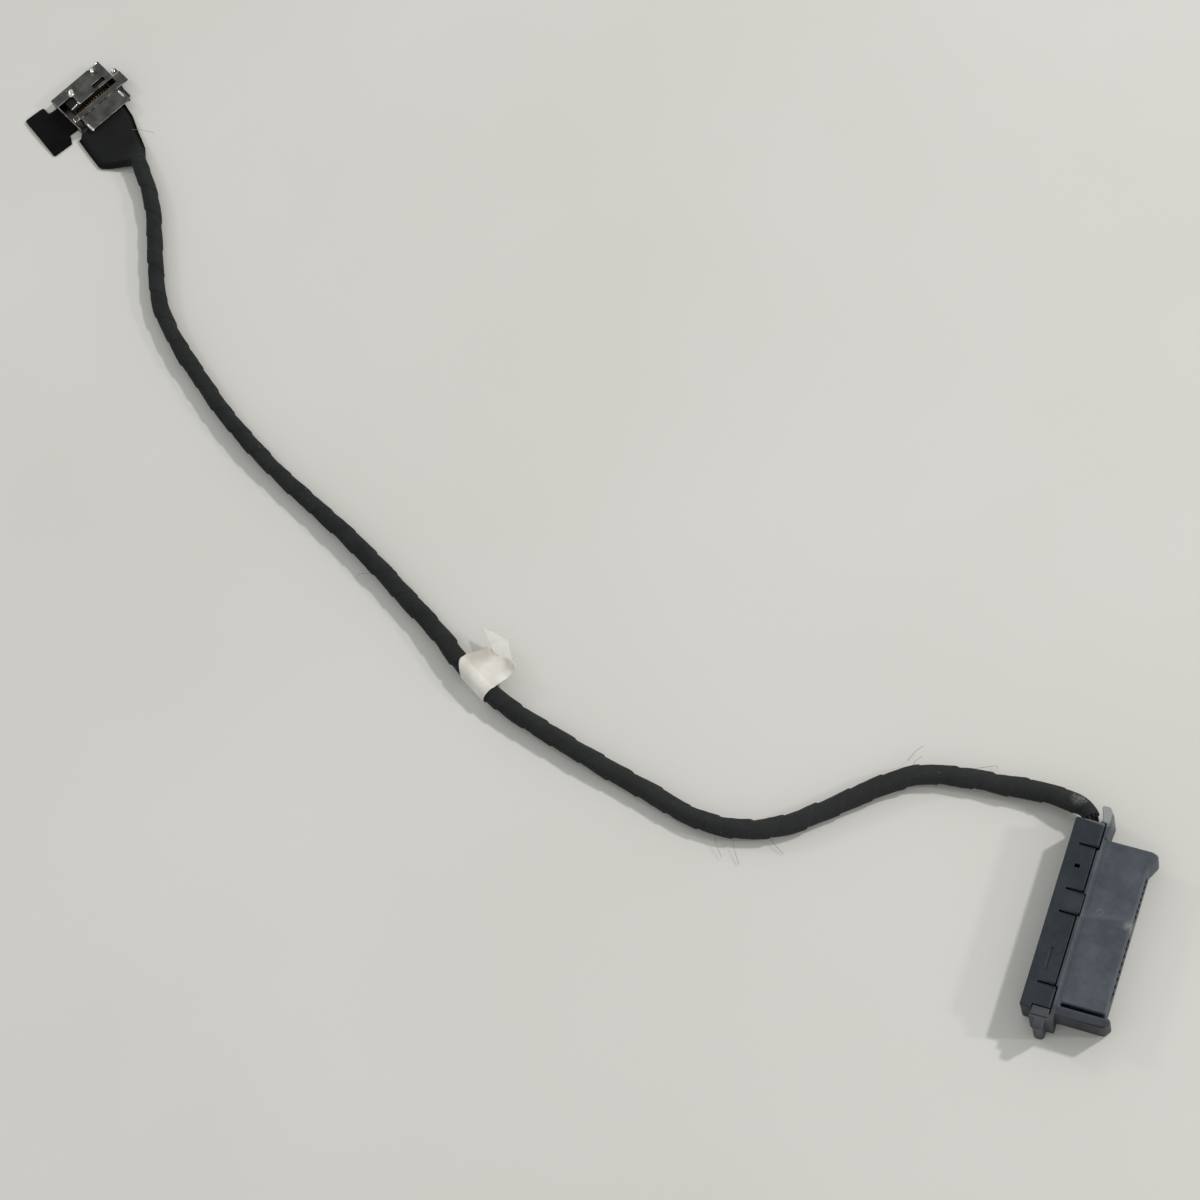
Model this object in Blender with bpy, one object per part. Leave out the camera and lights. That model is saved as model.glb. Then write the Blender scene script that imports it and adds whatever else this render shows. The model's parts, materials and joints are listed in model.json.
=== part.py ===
"""Optical drive adapter cable: a 7 + 6 way drive receptacle, a tape-wrapped cable and a shelled board connector.

Metres, +Z up. +X runs along the drive receptacle, its mouth faces -Y and it lies on Z = 0.
The origin is under the middle of the receptacle. The cable leaves its +X end and lies on Z = 0.
"""

import math

import bmesh
import bpy
from mathutils import Matrix, Vector

# Drive connector as a whole
SEAT_GAP = 0.00015  # clearance between pieces that seat on each other

# Rear cover
COVER_LENGTH = 0.0318
COVER_DEPTH = 0.0047
COVER_HEIGHT = 0.0066
COVER_WALL = 0.0007
COVER_EDGE = 0.00022  # edge rounding
SLIT_WIDTH = 0.00024
SLIT_START = 0.0016  # from the rear face
OUTER_SLIT_X = 0.0116
LATCH_X = 0.0021
LATCH_WIDTH = 0.0036
LATCH_REACH = 0.0001
LATCH_CORNER = 0.0004
EDGE_STEP = 0.00035  # how far the front edge stands back between its end blocks
SMALL_SLOT_X = 0.0080
SMALL_SLOT_SIZE = (0.0006, 0.0009)
RELIEF_START_X = -0.0094
RELIEF_LENGTH = 0.0036
RELIEF_WIDTH = 0.0004
RELIEF_DEPTH = 0.0002
END_NOTCH_WIDTH = 0.0029
END_NOTCH_DEPTH = 0.0012

# Housing: flange, ears, body and guide arms
FLANGE_HEIGHT = 0.0062
FLANGE_THICKNESS = 0.0007
FLANGE_SLOPE = 0.0005  # slope from the flange's top down to the body
EAR_REACH = 0.0188  # from the middle to each ear's tip
EAR_TIP_WIDTH = 0.0013
EAR_LEAN = 0.0008  # how far the ear's tip leans to the rear
EAR_CORNER = 0.0003
EAR_SWELL = 0.0002
LUG_WIDTH = 0.0017
END_WALL_THICKNESS = 0.0013
BODY_BOTTOM = 0.0005
BODY_TOP = 0.0057
MOUTH_DEPTH = 0.0129  # rear face to the mouth's front face
BODY_HALF_LENGTH = 0.0136
GROOVE_WIDTH = 0.0006
ARM_WIDTH = 0.0016
ARM_REACH = 0.0011  # guide arms past the mouth's front face
ARM_TIP_WIDTH = 0.0029
HOUSING_EDGE = 0.0002

# Mouth and contacts
SIGNAL_LENGTH = 0.01065
POWER_LENGTH = 0.0078
KEY_WALL = 0.0024
MOUTH_SHIFT = -0.0005  # middle of both segments from the middle of the connector
SLOT_BOTTOM = 0.0025
SLOT_HEIGHT = 0.0019
SLOT_DEPTH = 0.0060
KEY_LEG_WIDTH = 0.0009
KEY_LEG_HEIGHT = 0.0011
SIGNAL_COUNT = 7
SIGNAL_PITCH = 0.00127
POWER_COUNT = 6
POWER_PITCH = 0.00100
CONTACT_WIDTH = 0.00044
CONTACT_THICKNESS = 0.00015
CONTACT_SIDE_GAP = 0.0001
CONTACT_TAIL_Z = 0.0020
CONTACT_CREST = 0.00075
CONTACT_TAIL_REACH = 0.0006  # tail past the flange into the cover
CAVITY_FLOOR = 0.0016

# Wires inside the rear cover
WIRE_DIAMETER = 0.0004
WIRE_PITCH = 0.00066
WIRE_ROWS = 3
WIRE_COLUMNS = 5
WIRE_BEND = 0.0004
WIRE_SLOPE = 0.0010
WIRE_GAP = 0.0002

# Cable
CABLE_DIAMETER = 0.0032
CABLE_ENTRY_Z = 0.0033
CABLE_IN_COVER = 0.0010
CABLE_HOLE_GAP = 0.00015
CABLE_POINT_SPACING = 0.0034

# Label
LABEL_WIDTH = 0.0086  # along the cable
LABEL_FILM = 0.00015
LABEL_SLACK = 0.0003
LABEL_FLAG = 0.0040  # from the sleeve's side to the free end
LABEL_CURL = 0.0008
LABEL_ALONG = 0.1162  # along the cable, from the drive connector to the label's middle

# Board connector, in its own frame: p along its length, q away from the wires
BOARD_CENTRE = (0.1061, 0.2259)
BOARD_HEADING = -29.0
SHELL_LENGTH = 0.0118
SHELL_WIDTH = 0.0098
SHELL_HEIGHT = 0.0022
SHEET = 0.0002
TOP_LIP = 0.0050
LIP_START = -0.0023
LIP_SLIT = 0.0002
CORNER_LIP = 0.0022
WINDOW_SIZE = (0.0028, 0.0011)
WINDOW_PLACE = (0.0031, 0.0010)
RAIL_PLACE = 0.0020  # from the shell's rear edge
RAIL_WIDTH = 0.0013
BOSS_DIAMETER = 0.0011
BOSS_PLACE = 0.0011  # from the shell's end
END_TAB_REACH = 0.0016
END_TAB_WIDTH = 0.0028
LUG_SIZE = 0.0012
LUG_PLACES = ((-0.0022, 0.0030), (0.0038, 0.0036), (0.0067, 0.0004))
INSULATOR_LENGTH = 0.0086
CONTACT_SLOT_WIDTH = 0.0010
CONTACT_SLOT_DEPTH = 0.0009
BOARD_CONTACT_COUNT = 12
BOARD_CONTACT_PITCH = 0.0006
BOARD_CONTACT_WIDTH = 0.0003
BAR_START = -0.0042
BAR_LENGTH = 0.0090
BAR_WIDTH = 0.0037
BAR_ROLL = 0.0024  # length of each rolled end

# Film pull tab
TAB_FILM = 0.00015
TAB_TURN = -4.5  # the film sits a little askew
TAB_SHIFT = 0.0007  # its middle, towards the mating side
TAB_NECK_WIDTH = 0.0070
TAB_NECK_LENGTH = 0.0021
TAB_HEAD_WIDTH = 0.0108
TAB_HEAD_LENGTH = 0.0043
TAB_UNDERLAP = 0.0050

# Taped fan of wires
FAN_THICKNESS = 0.0014
FAN_RING_POINTS = 16
FAN_EDGE_POWER = 0.4  # 1 would be an ellipse, less is squarer
# Left edge and its distance from the connector, right edge and its distance, and how round it is
FAN_STATIONS = (
    (-0.0073, 0.0000, 0.0040, 0.0000, 0.0),
    (-0.0078, 0.0038, 0.0033, 0.0038, 0.0),
    (-0.0082, 0.0076, 0.0018, 0.0077, 0.0),
    (-0.0080, 0.0083, 0.0015, 0.0087, 0.0),
    (-0.0068, 0.0097, 0.0010, 0.0102, 0.15),
    (-0.0054, 0.0112, 0.0005, 0.0117, 0.5),
)

# The cable's route, from the drive connector to the taped fan: x, y and height of its middle
CABLE_ROUTE = (
    (0.0149, 0.00465, 0.00330),
    (0.0164, 0.00468, 0.00330),
    (0.0178, 0.00550, 0.00322),
    (0.0189, 0.00760, 0.00300),
    (0.0195, 0.01080, 0.00250),
    (0.0197, 0.01470, 0.00195),
    (0.0194, 0.01950, 0.00168),
    (0.0189, 0.02700, 0.00165),
    (0.0172, 0.03420, 0.00165),
    (0.0127, 0.04070, 0.00165),
    (0.0074, 0.04690, 0.00165),
    (0.0027, 0.05320, 0.00165),
    (0.0004, 0.06080, 0.00165),
    (0.0006, 0.06780, 0.00165),
    (0.0024, 0.07450, 0.00165),
    (0.0051, 0.08550, 0.00165),
    (0.0083, 0.09700, 0.00180),
    (0.0110, 0.10510, 0.00208),
    (0.0136, 0.11040, 0.00208),
    (0.0165, 0.11540, 0.00208),
    (0.0201, 0.12040, 0.00180),
    (0.0257, 0.12970, 0.00165),
    (0.0316, 0.14000, 0.00165),
    (0.0370, 0.15080, 0.00165),
    (0.0423, 0.16140, 0.00165),
    (0.0484, 0.17160, 0.00165),
    (0.0556, 0.18130, 0.00165),
    (0.0620, 0.18910, 0.00165),
    (0.0685, 0.19500, 0.00165),
    (0.0765, 0.19920, 0.00165),
    (0.0850, 0.20320, 0.00165),
    (0.0905, 0.20680, 0.00165),
    (0.0951, 0.21070, 0.00165),
)

CONNECTOR_DEPTH = MOUTH_DEPTH + ARM_REACH  # rear face to the tips of the guide arms
REAR_Y = CONNECTOR_DEPTH / 2
CABLE_RADIUS = CABLE_DIAMETER / 2
FLANGE_REAR = COVER_DEPTH + SEAT_GAP
FLANGE_FRONT = FLANGE_REAR + FLANGE_THICKNESS
WALL_INNER_X = COVER_LENGTH / 2 + SEAT_GAP
MOUTH_HALF = (SIGNAL_LENGTH + KEY_WALL + POWER_LENGTH) / 2
POWER_START = MOUTH_SHIFT + MOUTH_HALF - POWER_LENGTH
SIGNAL_START = MOUTH_SHIFT - MOUTH_HALF
OVERRUN = 0.001  # how far a cutter runs past the face that it opens


def clear_scene():
    for old in list(bpy.data.objects):
        bpy.data.objects.remove(old)


def linear(hex_colour):
    """The linear RGBA of an sRGB hex colour."""
    channels = [int(hex_colour[i : i + 2], 16) / 255 for i in (1, 3, 5)]
    return [c / 12.92 if c <= 0.04045 else ((c + 0.055) / 1.055) ** 2.4 for c in channels] + [1.0]


def plain_material(name, hex_colour, roughness, metallic=0.0):
    made = bpy.data.materials.new(name)
    made.use_nodes = True
    shader = made.node_tree.nodes["Principled BSDF"]
    shader.inputs["Base Color"].default_value = linear(hex_colour)
    shader.inputs["Roughness"].default_value = roughness
    shader.inputs["Metallic"].default_value = metallic
    made.diffuse_color = linear(hex_colour)
    return made


def at_depth(depth):
    """World y of a place this far in front of the rear face."""
    return REAR_Y - depth


def link(name, data, material=None, parent=None):
    made = bpy.data.objects.new(name, data)
    bpy.context.scene.collection.objects.link(made)
    made.parent = parent
    if material:
        data.materials.append(material)
    return made


def mesh_from(bm, name):
    bmesh.ops.recalc_face_normals(bm, faces=bm.faces)
    mesh = bpy.data.meshes.new(name)
    bm.to_mesh(mesh)
    bm.free()
    return mesh


def box(low, high, edge=0.0):
    """A block between two corners, its edges rounded by one chamfer."""
    bm = bmesh.new()
    bmesh.ops.create_cube(bm, size=1.0)
    size = Vector(high) - Vector(low)
    middle = (Vector(high) + Vector(low)) / 2
    bmesh.ops.scale(bm, vec=size, verts=bm.verts)
    bmesh.ops.translate(bm, vec=middle, verts=bm.verts)
    soften(bm, edge)
    return bm


def soften(bm, edge):
    if edge > 0:
        bmesh.ops.bevel(
            bm, geom=list(bm.edges), offset=edge, segments=1, affect="EDGES", clamp_overlap=True
        )


def prism(outline, start, end, across, edge=0.0):
    """An outline of two coordinates, extruded from start to end.

    across turns (first, second, distance) of a point into its place.
    """
    bm = bmesh.new()
    bottom = [bm.verts.new(across(a, b, start)) for a, b in outline]
    face = bm.faces.new(bottom)
    raised = bmesh.ops.extrude_face_region(bm, geom=[face])["geom"]
    shift = Vector(across(0, 0, end)) - Vector(across(0, 0, start))
    bmesh.ops.translate(
        bm, vec=shift, verts=[v for v in raised if isinstance(v, bmesh.types.BMVert)]
    )
    soften(bm, edge)
    return bm


def plan(x, depth, z):
    """A point of a drive connector outline drawn from above."""
    return (x, at_depth(depth), z)


def side(depth, z, x):
    """A point of a drive connector outline drawn from its +X end."""
    return (x, at_depth(depth), z)


def rod(start, end, radius, sides=12):
    """A round bar from start to end."""
    start, end = Vector(start), Vector(end)
    bm = bmesh.new()
    bmesh.ops.create_cone(
        bm, cap_ends=True, segments=sides, radius1=radius, radius2=radius, depth=(end - start).length
    )
    turn = (end - start).to_track_quat("Z", "Y").to_matrix().to_4x4()
    bmesh.ops.transform(bm, matrix=Matrix.Translation((start + end) / 2) @ turn, verts=bm.verts)
    return bm


def joined(name, base, additions, cuts, material, parent=None):
    """The base solid with the additions united and the cuts taken out."""
    made = link(name, mesh_from(base, name), material, parent)
    steps = [("UNION", bm) for bm in additions] + [("DIFFERENCE", bm) for bm in cuts]
    for number, (operation, bm) in enumerate(steps):
        helper = link(f"{name}_helper_{number}", mesh_from(bm, name), parent=parent)
        helper.hide_render = True
        helper.display_type = "WIRE"
        modifier = made.modifiers.new(operation.title(), "BOOLEAN")
        modifier.operation = operation
        modifier.solver = "EXACT"
        modifier.object = helper
    return made


def gathered(solids):
    """Several solids that stay clear of each other, as one cutter."""
    all_of_them = bmesh.new()
    for bm in solids:
        mesh = bpy.data.meshes.new("gathered")
        bm.to_mesh(mesh)
        bm.free()
        all_of_them.from_mesh(mesh)
        bpy.data.meshes.remove(mesh)
    return all_of_them


def smooth_path(points, spacing):
    """Evenly spaced points on the Catmull-Rom curve through the given points."""
    through = [Vector(p) for p in points]
    ends = [2 * through[0] - through[1]] + through + [2 * through[-1] - through[-2]]
    fine = []
    steps = 24
    for a, b, c, d in zip(ends, ends[1:], ends[2:], ends[3:]):
        for i in range(steps):
            t = i / steps
            fine.append(
                (2 * b + (c - a) * t + (2 * a - 5 * b + 4 * c - d) * t * t + (3 * b - a - 3 * c + d) * t**3) / 2
            )
    fine.append(through[-1])
    lengths = [0.0]
    for a, b in zip(fine, fine[1:]):
        lengths.append(lengths[-1] + (b - a).length)
    count = max(2, round(lengths[-1] / spacing))
    even = []
    i = 0
    for n in range(count + 1):
        along = lengths[-1] * n / count
        while i < len(fine) - 2 and lengths[i + 1] < along:
            i += 1
        share = (along - lengths[i]) / (lengths[i + 1] - lengths[i])
        even.append(fine[i].lerp(fine[i + 1], min(1.0, share)))
    return even


def along(points, distance):
    """The place this far along a line of points, and the line's direction there."""
    for a, b in zip(points, points[1:]):
        step = (b - a).length
        if distance <= step:
            break
        distance -= step
    direction = (b - a).normalized()
    return a + direction * distance, direction


def tube(name, points, diameter, resolution, material, parent=None):
    """A round tube along the points, closed at both ends."""
    curve = bpy.data.curves.new(name, "CURVE")
    curve.dimensions = "3D"
    curve.bevel_depth = diameter / 2
    curve.bevel_resolution = resolution
    curve.use_fill_caps = True
    spline = curve.splines.new("POLY")
    spline.points.add(len(points) - 1)
    for place, point in zip(spline.points, points):
        place.co = (*point, 1.0)
        place.radius = 1.0
    spline.use_smooth = True
    return link(name, curve, material, parent)


def row_places(start, length, count, pitch):
    """The middles of a row of contacts centred in a segment of the mouth, from its +X end."""
    middle = start + length / 2
    return [middle + pitch * ((count - 1) / 2 - i) for i in range(count)]


def latch_outline(clearance, cut):
    """The latch tongue from above, widened by a clearance, its corners cut off by this much."""
    half = LATCH_WIDTH / 2 + clearance
    front = COVER_DEPTH + LATCH_REACH + clearance
    back = COVER_DEPTH - COVER_WALL / 2
    return [
        (LATCH_X - half, back),
        (LATCH_X - half, front - cut),
        (LATCH_X - half + cut, front),
        (LATCH_X + half - cut, front),
        (LATCH_X + half, front - cut),
        (LATCH_X + half, back),
    ]


def rear_cover(material):
    """The snap-on cover: a shell open towards the flange, with slits, latches and the cable's hole."""
    half = COVER_LENGTH / 2
    middle = COVER_DEPTH / 2
    shell = box((-half, at_depth(COVER_DEPTH), 0), (half, at_depth(0), COVER_HEIGHT), COVER_EDGE)
    top_wall = COVER_HEIGHT - COVER_WALL
    latches = [
        prism(latch_outline(0, LATCH_CORNER), 0, COVER_WALL, plan),
        prism(latch_outline(0, LATCH_CORNER), top_wall, COVER_HEIGHT, plan),
    ]
    hollow = box(
        (-half + COVER_WALL, at_depth(COVER_DEPTH + OVERRUN), COVER_WALL),
        (half - COVER_WALL, at_depth(COVER_WALL), top_wall),
    )
    hole = rod(
        (half - 2 * COVER_WALL, at_depth(middle), CABLE_ENTRY_Z),
        (half + OVERRUN, at_depth(middle), CABLE_ENTRY_Z),
        CABLE_RADIUS + CABLE_HOLE_GAP,
    )
    slit_gap = LATCH_WIDTH / 2 + SLIT_WIDTH / 2
    slits = []
    for x in (OUTER_SLIT_X, LATCH_X + slit_gap, LATCH_X - slit_gap, -OUTER_SLIT_X):
        slits.append(
            box(
                (x - SLIT_WIDTH / 2, at_depth(COVER_DEPTH + OVERRUN / 4), top_wall - OVERRUN),
                (x + SLIT_WIDTH / 2, at_depth(SLIT_START), COVER_HEIGHT + OVERRUN),
            )
        )
    for x in (LATCH_X + slit_gap, LATCH_X - slit_gap):
        slits.append(
            box(
                (x - SLIT_WIDTH / 2, at_depth(COVER_DEPTH + OVERRUN / 4), -OVERRUN),
                (x + SLIT_WIDTH / 2, at_depth(SLIT_START), COVER_WALL + OVERRUN),
            )
        )
    steps = []
    for start, end in ((-OUTER_SLIT_X, LATCH_X - slit_gap), (LATCH_X + slit_gap, OUTER_SLIT_X)):
        low_corner = (start, at_depth(COVER_DEPTH + OVERRUN), -OVERRUN)
        steps.append(box(low_corner, (end, at_depth(COVER_DEPTH - EDGE_STEP), COVER_HEIGHT + OVERRUN)))
    slot_x, slot_depth = SMALL_SLOT_SIZE
    slot = box(
        (SMALL_SLOT_X - slot_x / 2, at_depth(middle + slot_depth / 2), top_wall - OVERRUN),
        (SMALL_SLOT_X + slot_x / 2, at_depth(middle - slot_depth / 2), COVER_HEIGHT + OVERRUN),
    )
    relief = box(
        (RELIEF_START_X, at_depth(middle + RELIEF_WIDTH / 2), COVER_HEIGHT - RELIEF_DEPTH),
        (RELIEF_START_X + RELIEF_LENGTH, at_depth(middle - RELIEF_WIDTH / 2), COVER_HEIGHT + OVERRUN),
    )
    notch = box(
        (-half - OVERRUN, at_depth(COVER_DEPTH + OVERRUN), COVER_HEIGHT - END_NOTCH_DEPTH),
        (-half + COVER_WALL, at_depth(COVER_DEPTH - END_NOTCH_WIDTH), COVER_HEIGHT + OVERRUN),
    )
    cuts = [hollow, hole, gathered(slits + [slot, relief]), gathered(steps), notch]
    return joined("drive_rear_cover", shell, latches, cuts, material)


def flange_outline():
    """The flange from above: an ear at the +X end, an end wall and a lug at the -X end."""
    ear_rear = COVER_DEPTH / 2 + CABLE_RADIUS + 2 * CABLE_HOLE_GAP
    wall_outer = WALL_INNER_X + END_WALL_THICKNESS
    wall_rear = COVER_DEPTH - END_NOTCH_WIDTH
    lug_rear = wall_rear + LUG_WIDTH / 2
    lug_corner = LUG_WIDTH / 5
    rib_end = OUTER_SLIT_X - SEAT_GAP
    ear_top = ear_rear - EAR_LEAN
    return [
        (-WALL_INNER_X, FLANGE_REAR),
        (-rib_end, FLANGE_REAR),
        (-rib_end, FLANGE_REAR - EDGE_STEP),
        (rib_end, FLANGE_REAR - EDGE_STEP),
        (rib_end, FLANGE_REAR),
        (WALL_INNER_X, FLANGE_REAR),
        (WALL_INNER_X, ear_rear),
        (EAR_REACH - EAR_CORNER, ear_top),
        (EAR_REACH, ear_top + EAR_CORNER),
        (EAR_REACH, ear_top + EAR_TIP_WIDTH),
        (wall_outer, FLANGE_FRONT + EAR_SWELL),
        (WALL_INNER_X - END_WALL_THICKNESS, FLANGE_FRONT),
        (-wall_outer, FLANGE_FRONT),
        (-wall_outer, lug_rear + LUG_WIDTH),
        (-EAR_REACH + lug_corner, lug_rear + LUG_WIDTH),
        (-EAR_REACH, lug_rear + LUG_WIDTH - lug_corner),
        (-EAR_REACH, lug_rear + lug_corner),
        (-EAR_REACH + lug_corner, lug_rear),
        (-wall_outer, lug_rear),
        (-wall_outer, wall_rear),
        (-WALL_INNER_X, wall_rear),
    ]


def body_outline():
    """The receptacle from above, with a guide arm along each end and a groove beside the -X one."""
    root = FLANGE_FRONT - HOUSING_EDGE
    tip = CONNECTOR_DEPTH
    nose = ARM_REACH
    groove_outer = BODY_HALF_LENGTH + GROOVE_WIDTH
    arm_outer = groove_outer + ARM_WIDTH
    return [
        (BODY_HALF_LENGTH, root),
        (BODY_HALF_LENGTH, MOUTH_DEPTH),
        (BODY_HALF_LENGTH - nose / 3, tip - nose / 8),
        (BODY_HALF_LENGTH - nose * 0.7, tip),
        (BODY_HALF_LENGTH - nose * 1.1, tip - nose / 5),
        (BODY_HALF_LENGTH - ARM_TIP_WIDTH, MOUTH_DEPTH),
        (-BODY_HALF_LENGTH, MOUTH_DEPTH),
        (-BODY_HALF_LENGTH, FLANGE_FRONT + GROOVE_WIDTH / 2),
        (-groove_outer, FLANGE_FRONT + GROOVE_WIDTH / 2),
        (-groove_outer, MOUTH_DEPTH - nose / 3),
        (-groove_outer + GROOVE_WIDTH / 3, MOUTH_DEPTH + nose / 3),
        (-groove_outer, tip - nose / 8),
        (-groove_outer - ARM_WIDTH / 3, tip),
        (-arm_outer, MOUTH_DEPTH + nose / 4),
        (-arm_outer, root),
    ]


def drive_housing(material, contact_places):
    """The receptacle moulding."""
    body = prism(body_outline(), BODY_BOTTOM, BODY_TOP, plan, HOUSING_EDGE)
    flange = prism(flange_outline(), 0, FLANGE_HEIGHT, plan, HOUSING_EDGE / 2)
    foot_start, foot_end = FLANGE_FRONT - HOUSING_EDGE, MOUTH_DEPTH - HOUSING_EDGE
    feet = []
    arm_middle = BODY_HALF_LENGTH + GROOVE_WIDTH + ARM_WIDTH / 2
    foot_half = ARM_WIDTH / 2 - HOUSING_EDGE
    for x in (BODY_HALF_LENGTH - ARM_WIDTH / 2 - HOUSING_EDGE, -arm_middle):
        feet.append(
            box(
                (x - foot_half, at_depth(foot_end), 0),
                (x + foot_half, at_depth(foot_start), BODY_BOTTOM + HOUSING_EDGE * 2),
            )
        )
    tab_depths = (COVER_DEPTH - END_NOTCH_WIDTH + SEAT_GAP, COVER_DEPTH)
    tab = box(
        (-WALL_INNER_X - END_WALL_THICKNESS / 2, at_depth(tab_depths[1]), FLANGE_HEIGHT - COVER_WALL),
        (-WALL_INNER_X + COVER_WALL, at_depth(tab_depths[0]), FLANGE_HEIGHT + HOUSING_EDGE),
    )
    front = CONNECTOR_DEPTH + OVERRUN
    slot_back = MOUTH_DEPTH - SLOT_DEPTH
    slot_top = SLOT_BOTTOM + SLOT_HEIGHT
    segments = []
    for start, length in ((SIGNAL_START, SIGNAL_LENGTH), (POWER_START, POWER_LENGTH)):
        leg_x = start + length - KEY_LEG_WIDTH
        outline = [
            (start, SLOT_BOTTOM),
            (leg_x, SLOT_BOTTOM),
            (leg_x, SLOT_BOTTOM - KEY_LEG_HEIGHT),
            (start + length, SLOT_BOTTOM - KEY_LEG_HEIGHT),
            (start + length, slot_top),
            (start, slot_top),
        ]
        segments.append(prism(outline, slot_back, front, lambda x, z, depth: (x, at_depth(depth), z)))
    cavity_half = CONTACT_WIDTH / 2 + CONTACT_SIDE_GAP
    tail_half = CONTACT_THICKNESS / 2 + CONTACT_SIDE_GAP
    cavities, tail_holes = [], []
    for x in contact_places:
        cavities.append(
            box(
                (x - cavity_half, at_depth(front), CAVITY_FLOOR),
                (x + cavity_half, at_depth(slot_back), SLOT_BOTTOM + SEAT_GAP),
            )
        )
        tail_holes.append(
            box(
                (x - cavity_half, at_depth(slot_back + SEAT_GAP), CONTACT_TAIL_Z - tail_half),
                (x + cavity_half, at_depth(FLANGE_REAR - OVERRUN), CONTACT_TAIL_Z + tail_half),
            )
        )
    recess_floor = COVER_HEIGHT - COVER_WALL - SEAT_GAP
    recesses = [
        prism(latch_outline(SEAT_GAP, LATCH_CORNER / 8), recess_floor, COVER_HEIGHT + OVERRUN, plan),
        prism(latch_outline(SEAT_GAP, LATCH_CORNER / 8), -OVERRUN, COVER_WALL + SEAT_GAP, plan),
    ]
    slope_outline = [
        (FLANGE_FRONT - FLANGE_SLOPE, FLANGE_HEIGHT),
        (FLANGE_FRONT - FLANGE_SLOPE, FLANGE_HEIGHT + OVERRUN),
        (FLANGE_FRONT + HOUSING_EDGE, FLANGE_HEIGHT + OVERRUN),
        (FLANGE_FRONT + HOUSING_EDGE, BODY_TOP + HOUSING_EDGE / 4),
        (FLANGE_FRONT, BODY_TOP + HOUSING_EDGE / 4),
    ]
    slope = prism(slope_outline, -BODY_HALF_LENGTH, BODY_HALF_LENGTH, side)
    cuts = [gathered(segments), gathered(cavities), gathered(tail_holes), gathered(recesses), slope]
    return joined("drive_housing", body, [flange, *feet, tab], cuts, material)


def drive_contact_mesh(name):
    """A spring contact: a flat tail, a beam and a crest that presses on the mating blade."""
    slot_back = MOUTH_DEPTH - SLOT_DEPTH
    crest_z = CONTACT_TAIL_Z + CONTACT_CREST
    middle = [
        (FLANGE_REAR - CONTACT_TAIL_REACH, CONTACT_TAIL_Z),
        (slot_back + SLOT_DEPTH * 0.15, CONTACT_TAIL_Z),
        (slot_back + SLOT_DEPTH * 0.60, crest_z - CONTACT_CREST / 8),
        (slot_back + SLOT_DEPTH * 0.70, crest_z),
        (slot_back + SLOT_DEPTH * 0.78, crest_z - CONTACT_CREST / 8),
        (slot_back + SLOT_DEPTH * 0.93, CONTACT_TAIL_Z),
    ]
    half = CONTACT_THICKNESS / 2
    outline = [(d, z + half) for d, z in middle] + [(d, z - half) for d, z in reversed(middle)]
    return mesh_from(prism(outline, -CONTACT_WIDTH / 2, CONTACT_WIDTH / 2, side), name)


def wire_path(number, x):
    """A wire from the cable's end, along the cover, down to its contact's tail."""
    column, row = divmod(number, WIRE_ROWS)
    depth = COVER_DEPTH / 2 + WIRE_PITCH * ((WIRE_COLUMNS - 1) / 2 - column)
    height = CABLE_ENTRY_Z + WIRE_PITCH * (row - (WIRE_ROWS - 1) / 2)
    start_x = COVER_LENGTH / 2 - CABLE_IN_COVER - WIRE_GAP
    tail = FLANGE_REAR - CONTACT_TAIL_REACH - WIRE_GAP
    bend = min(WIRE_BEND, (tail - depth) * 0.7)
    return [
        (start_x, at_depth(depth), height),
        (x + WIRE_BEND + WIRE_SLOPE, at_depth(depth), height),
        (x + WIRE_BEND, at_depth(depth), CONTACT_TAIL_Z),
        (x + WIRE_BEND / 4, at_depth(depth + bend / 4), CONTACT_TAIL_Z),
        (x, at_depth(depth + bend), CONTACT_TAIL_Z),
        (x, at_depth(tail), CONTACT_TAIL_Z),
    ]


def label_flag(material, cable_points):
    """The film label: a sleeve round the cable and a flag that stands out to one side."""
    inner = CABLE_RADIUS + LABEL_SLACK
    outer = inner + LABEL_FILM
    segments = 20
    tip = outer + LABEL_FLAG
    leave = math.radians(62)
    flag_top = [
        (tip, outer * math.sin(leave) + LABEL_CURL - LABEL_FILM),
        (tip - LABEL_CURL / 2, outer * math.sin(leave) + LABEL_CURL / 3),
        (tip - LABEL_CURL * 2, outer * math.sin(leave)),
    ]
    flag_bottom = [(x, y - LABEL_FILM) for x, y in reversed(flag_top)]
    top_angle, bottom_angle = leave, leave - 2 * LABEL_FILM / outer
    sweep = 2 * math.pi - (top_angle - bottom_angle)
    ring = [
        (outer * math.cos(top_angle + sweep * i / segments), outer * math.sin(top_angle + sweep * i / segments))
        for i in range(segments + 1)
    ]
    hole = [
        (inner * math.cos(2 * math.pi * i / segments), inner * math.sin(2 * math.pi * i / segments))
        for i in range(segments)
    ]
    curve = bpy.data.curves.new("label_flag", "CURVE")
    curve.dimensions = "2D"
    curve.fill_mode = "BOTH"
    curve.extrude = LABEL_WIDTH / 2
    for outline in (ring + flag_bottom + flag_top, hole):
        spline = curve.splines.new("POLY")
        spline.points.add(len(outline) - 1)
        for place, (x, y) in zip(spline.points, outline):
            place.co = (x, y, 0.0, 1.0)
        spline.use_cyclic_u = True
    made = link("label_flag", curve, material)
    middle, forward = along(cable_points, LABEL_ALONG)
    up = Vector((0, 0, 1))
    out = forward.cross(up).normalized()
    place = Matrix((out, up, out.cross(up))).transposed().to_4x4()
    place.translation = (middle.x, middle.y, max(middle.z, outer))
    made.matrix_world = place
    return made


def board_frame():
    """The empty that carries the board connector."""
    frame = link("board_connector", None)
    frame.location = (*BOARD_CENTRE, 0)
    frame.rotation_euler = (0, 0, math.radians(BOARD_HEADING))
    return frame


def from_above(p, q, z):
    return (p, q, z)


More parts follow.
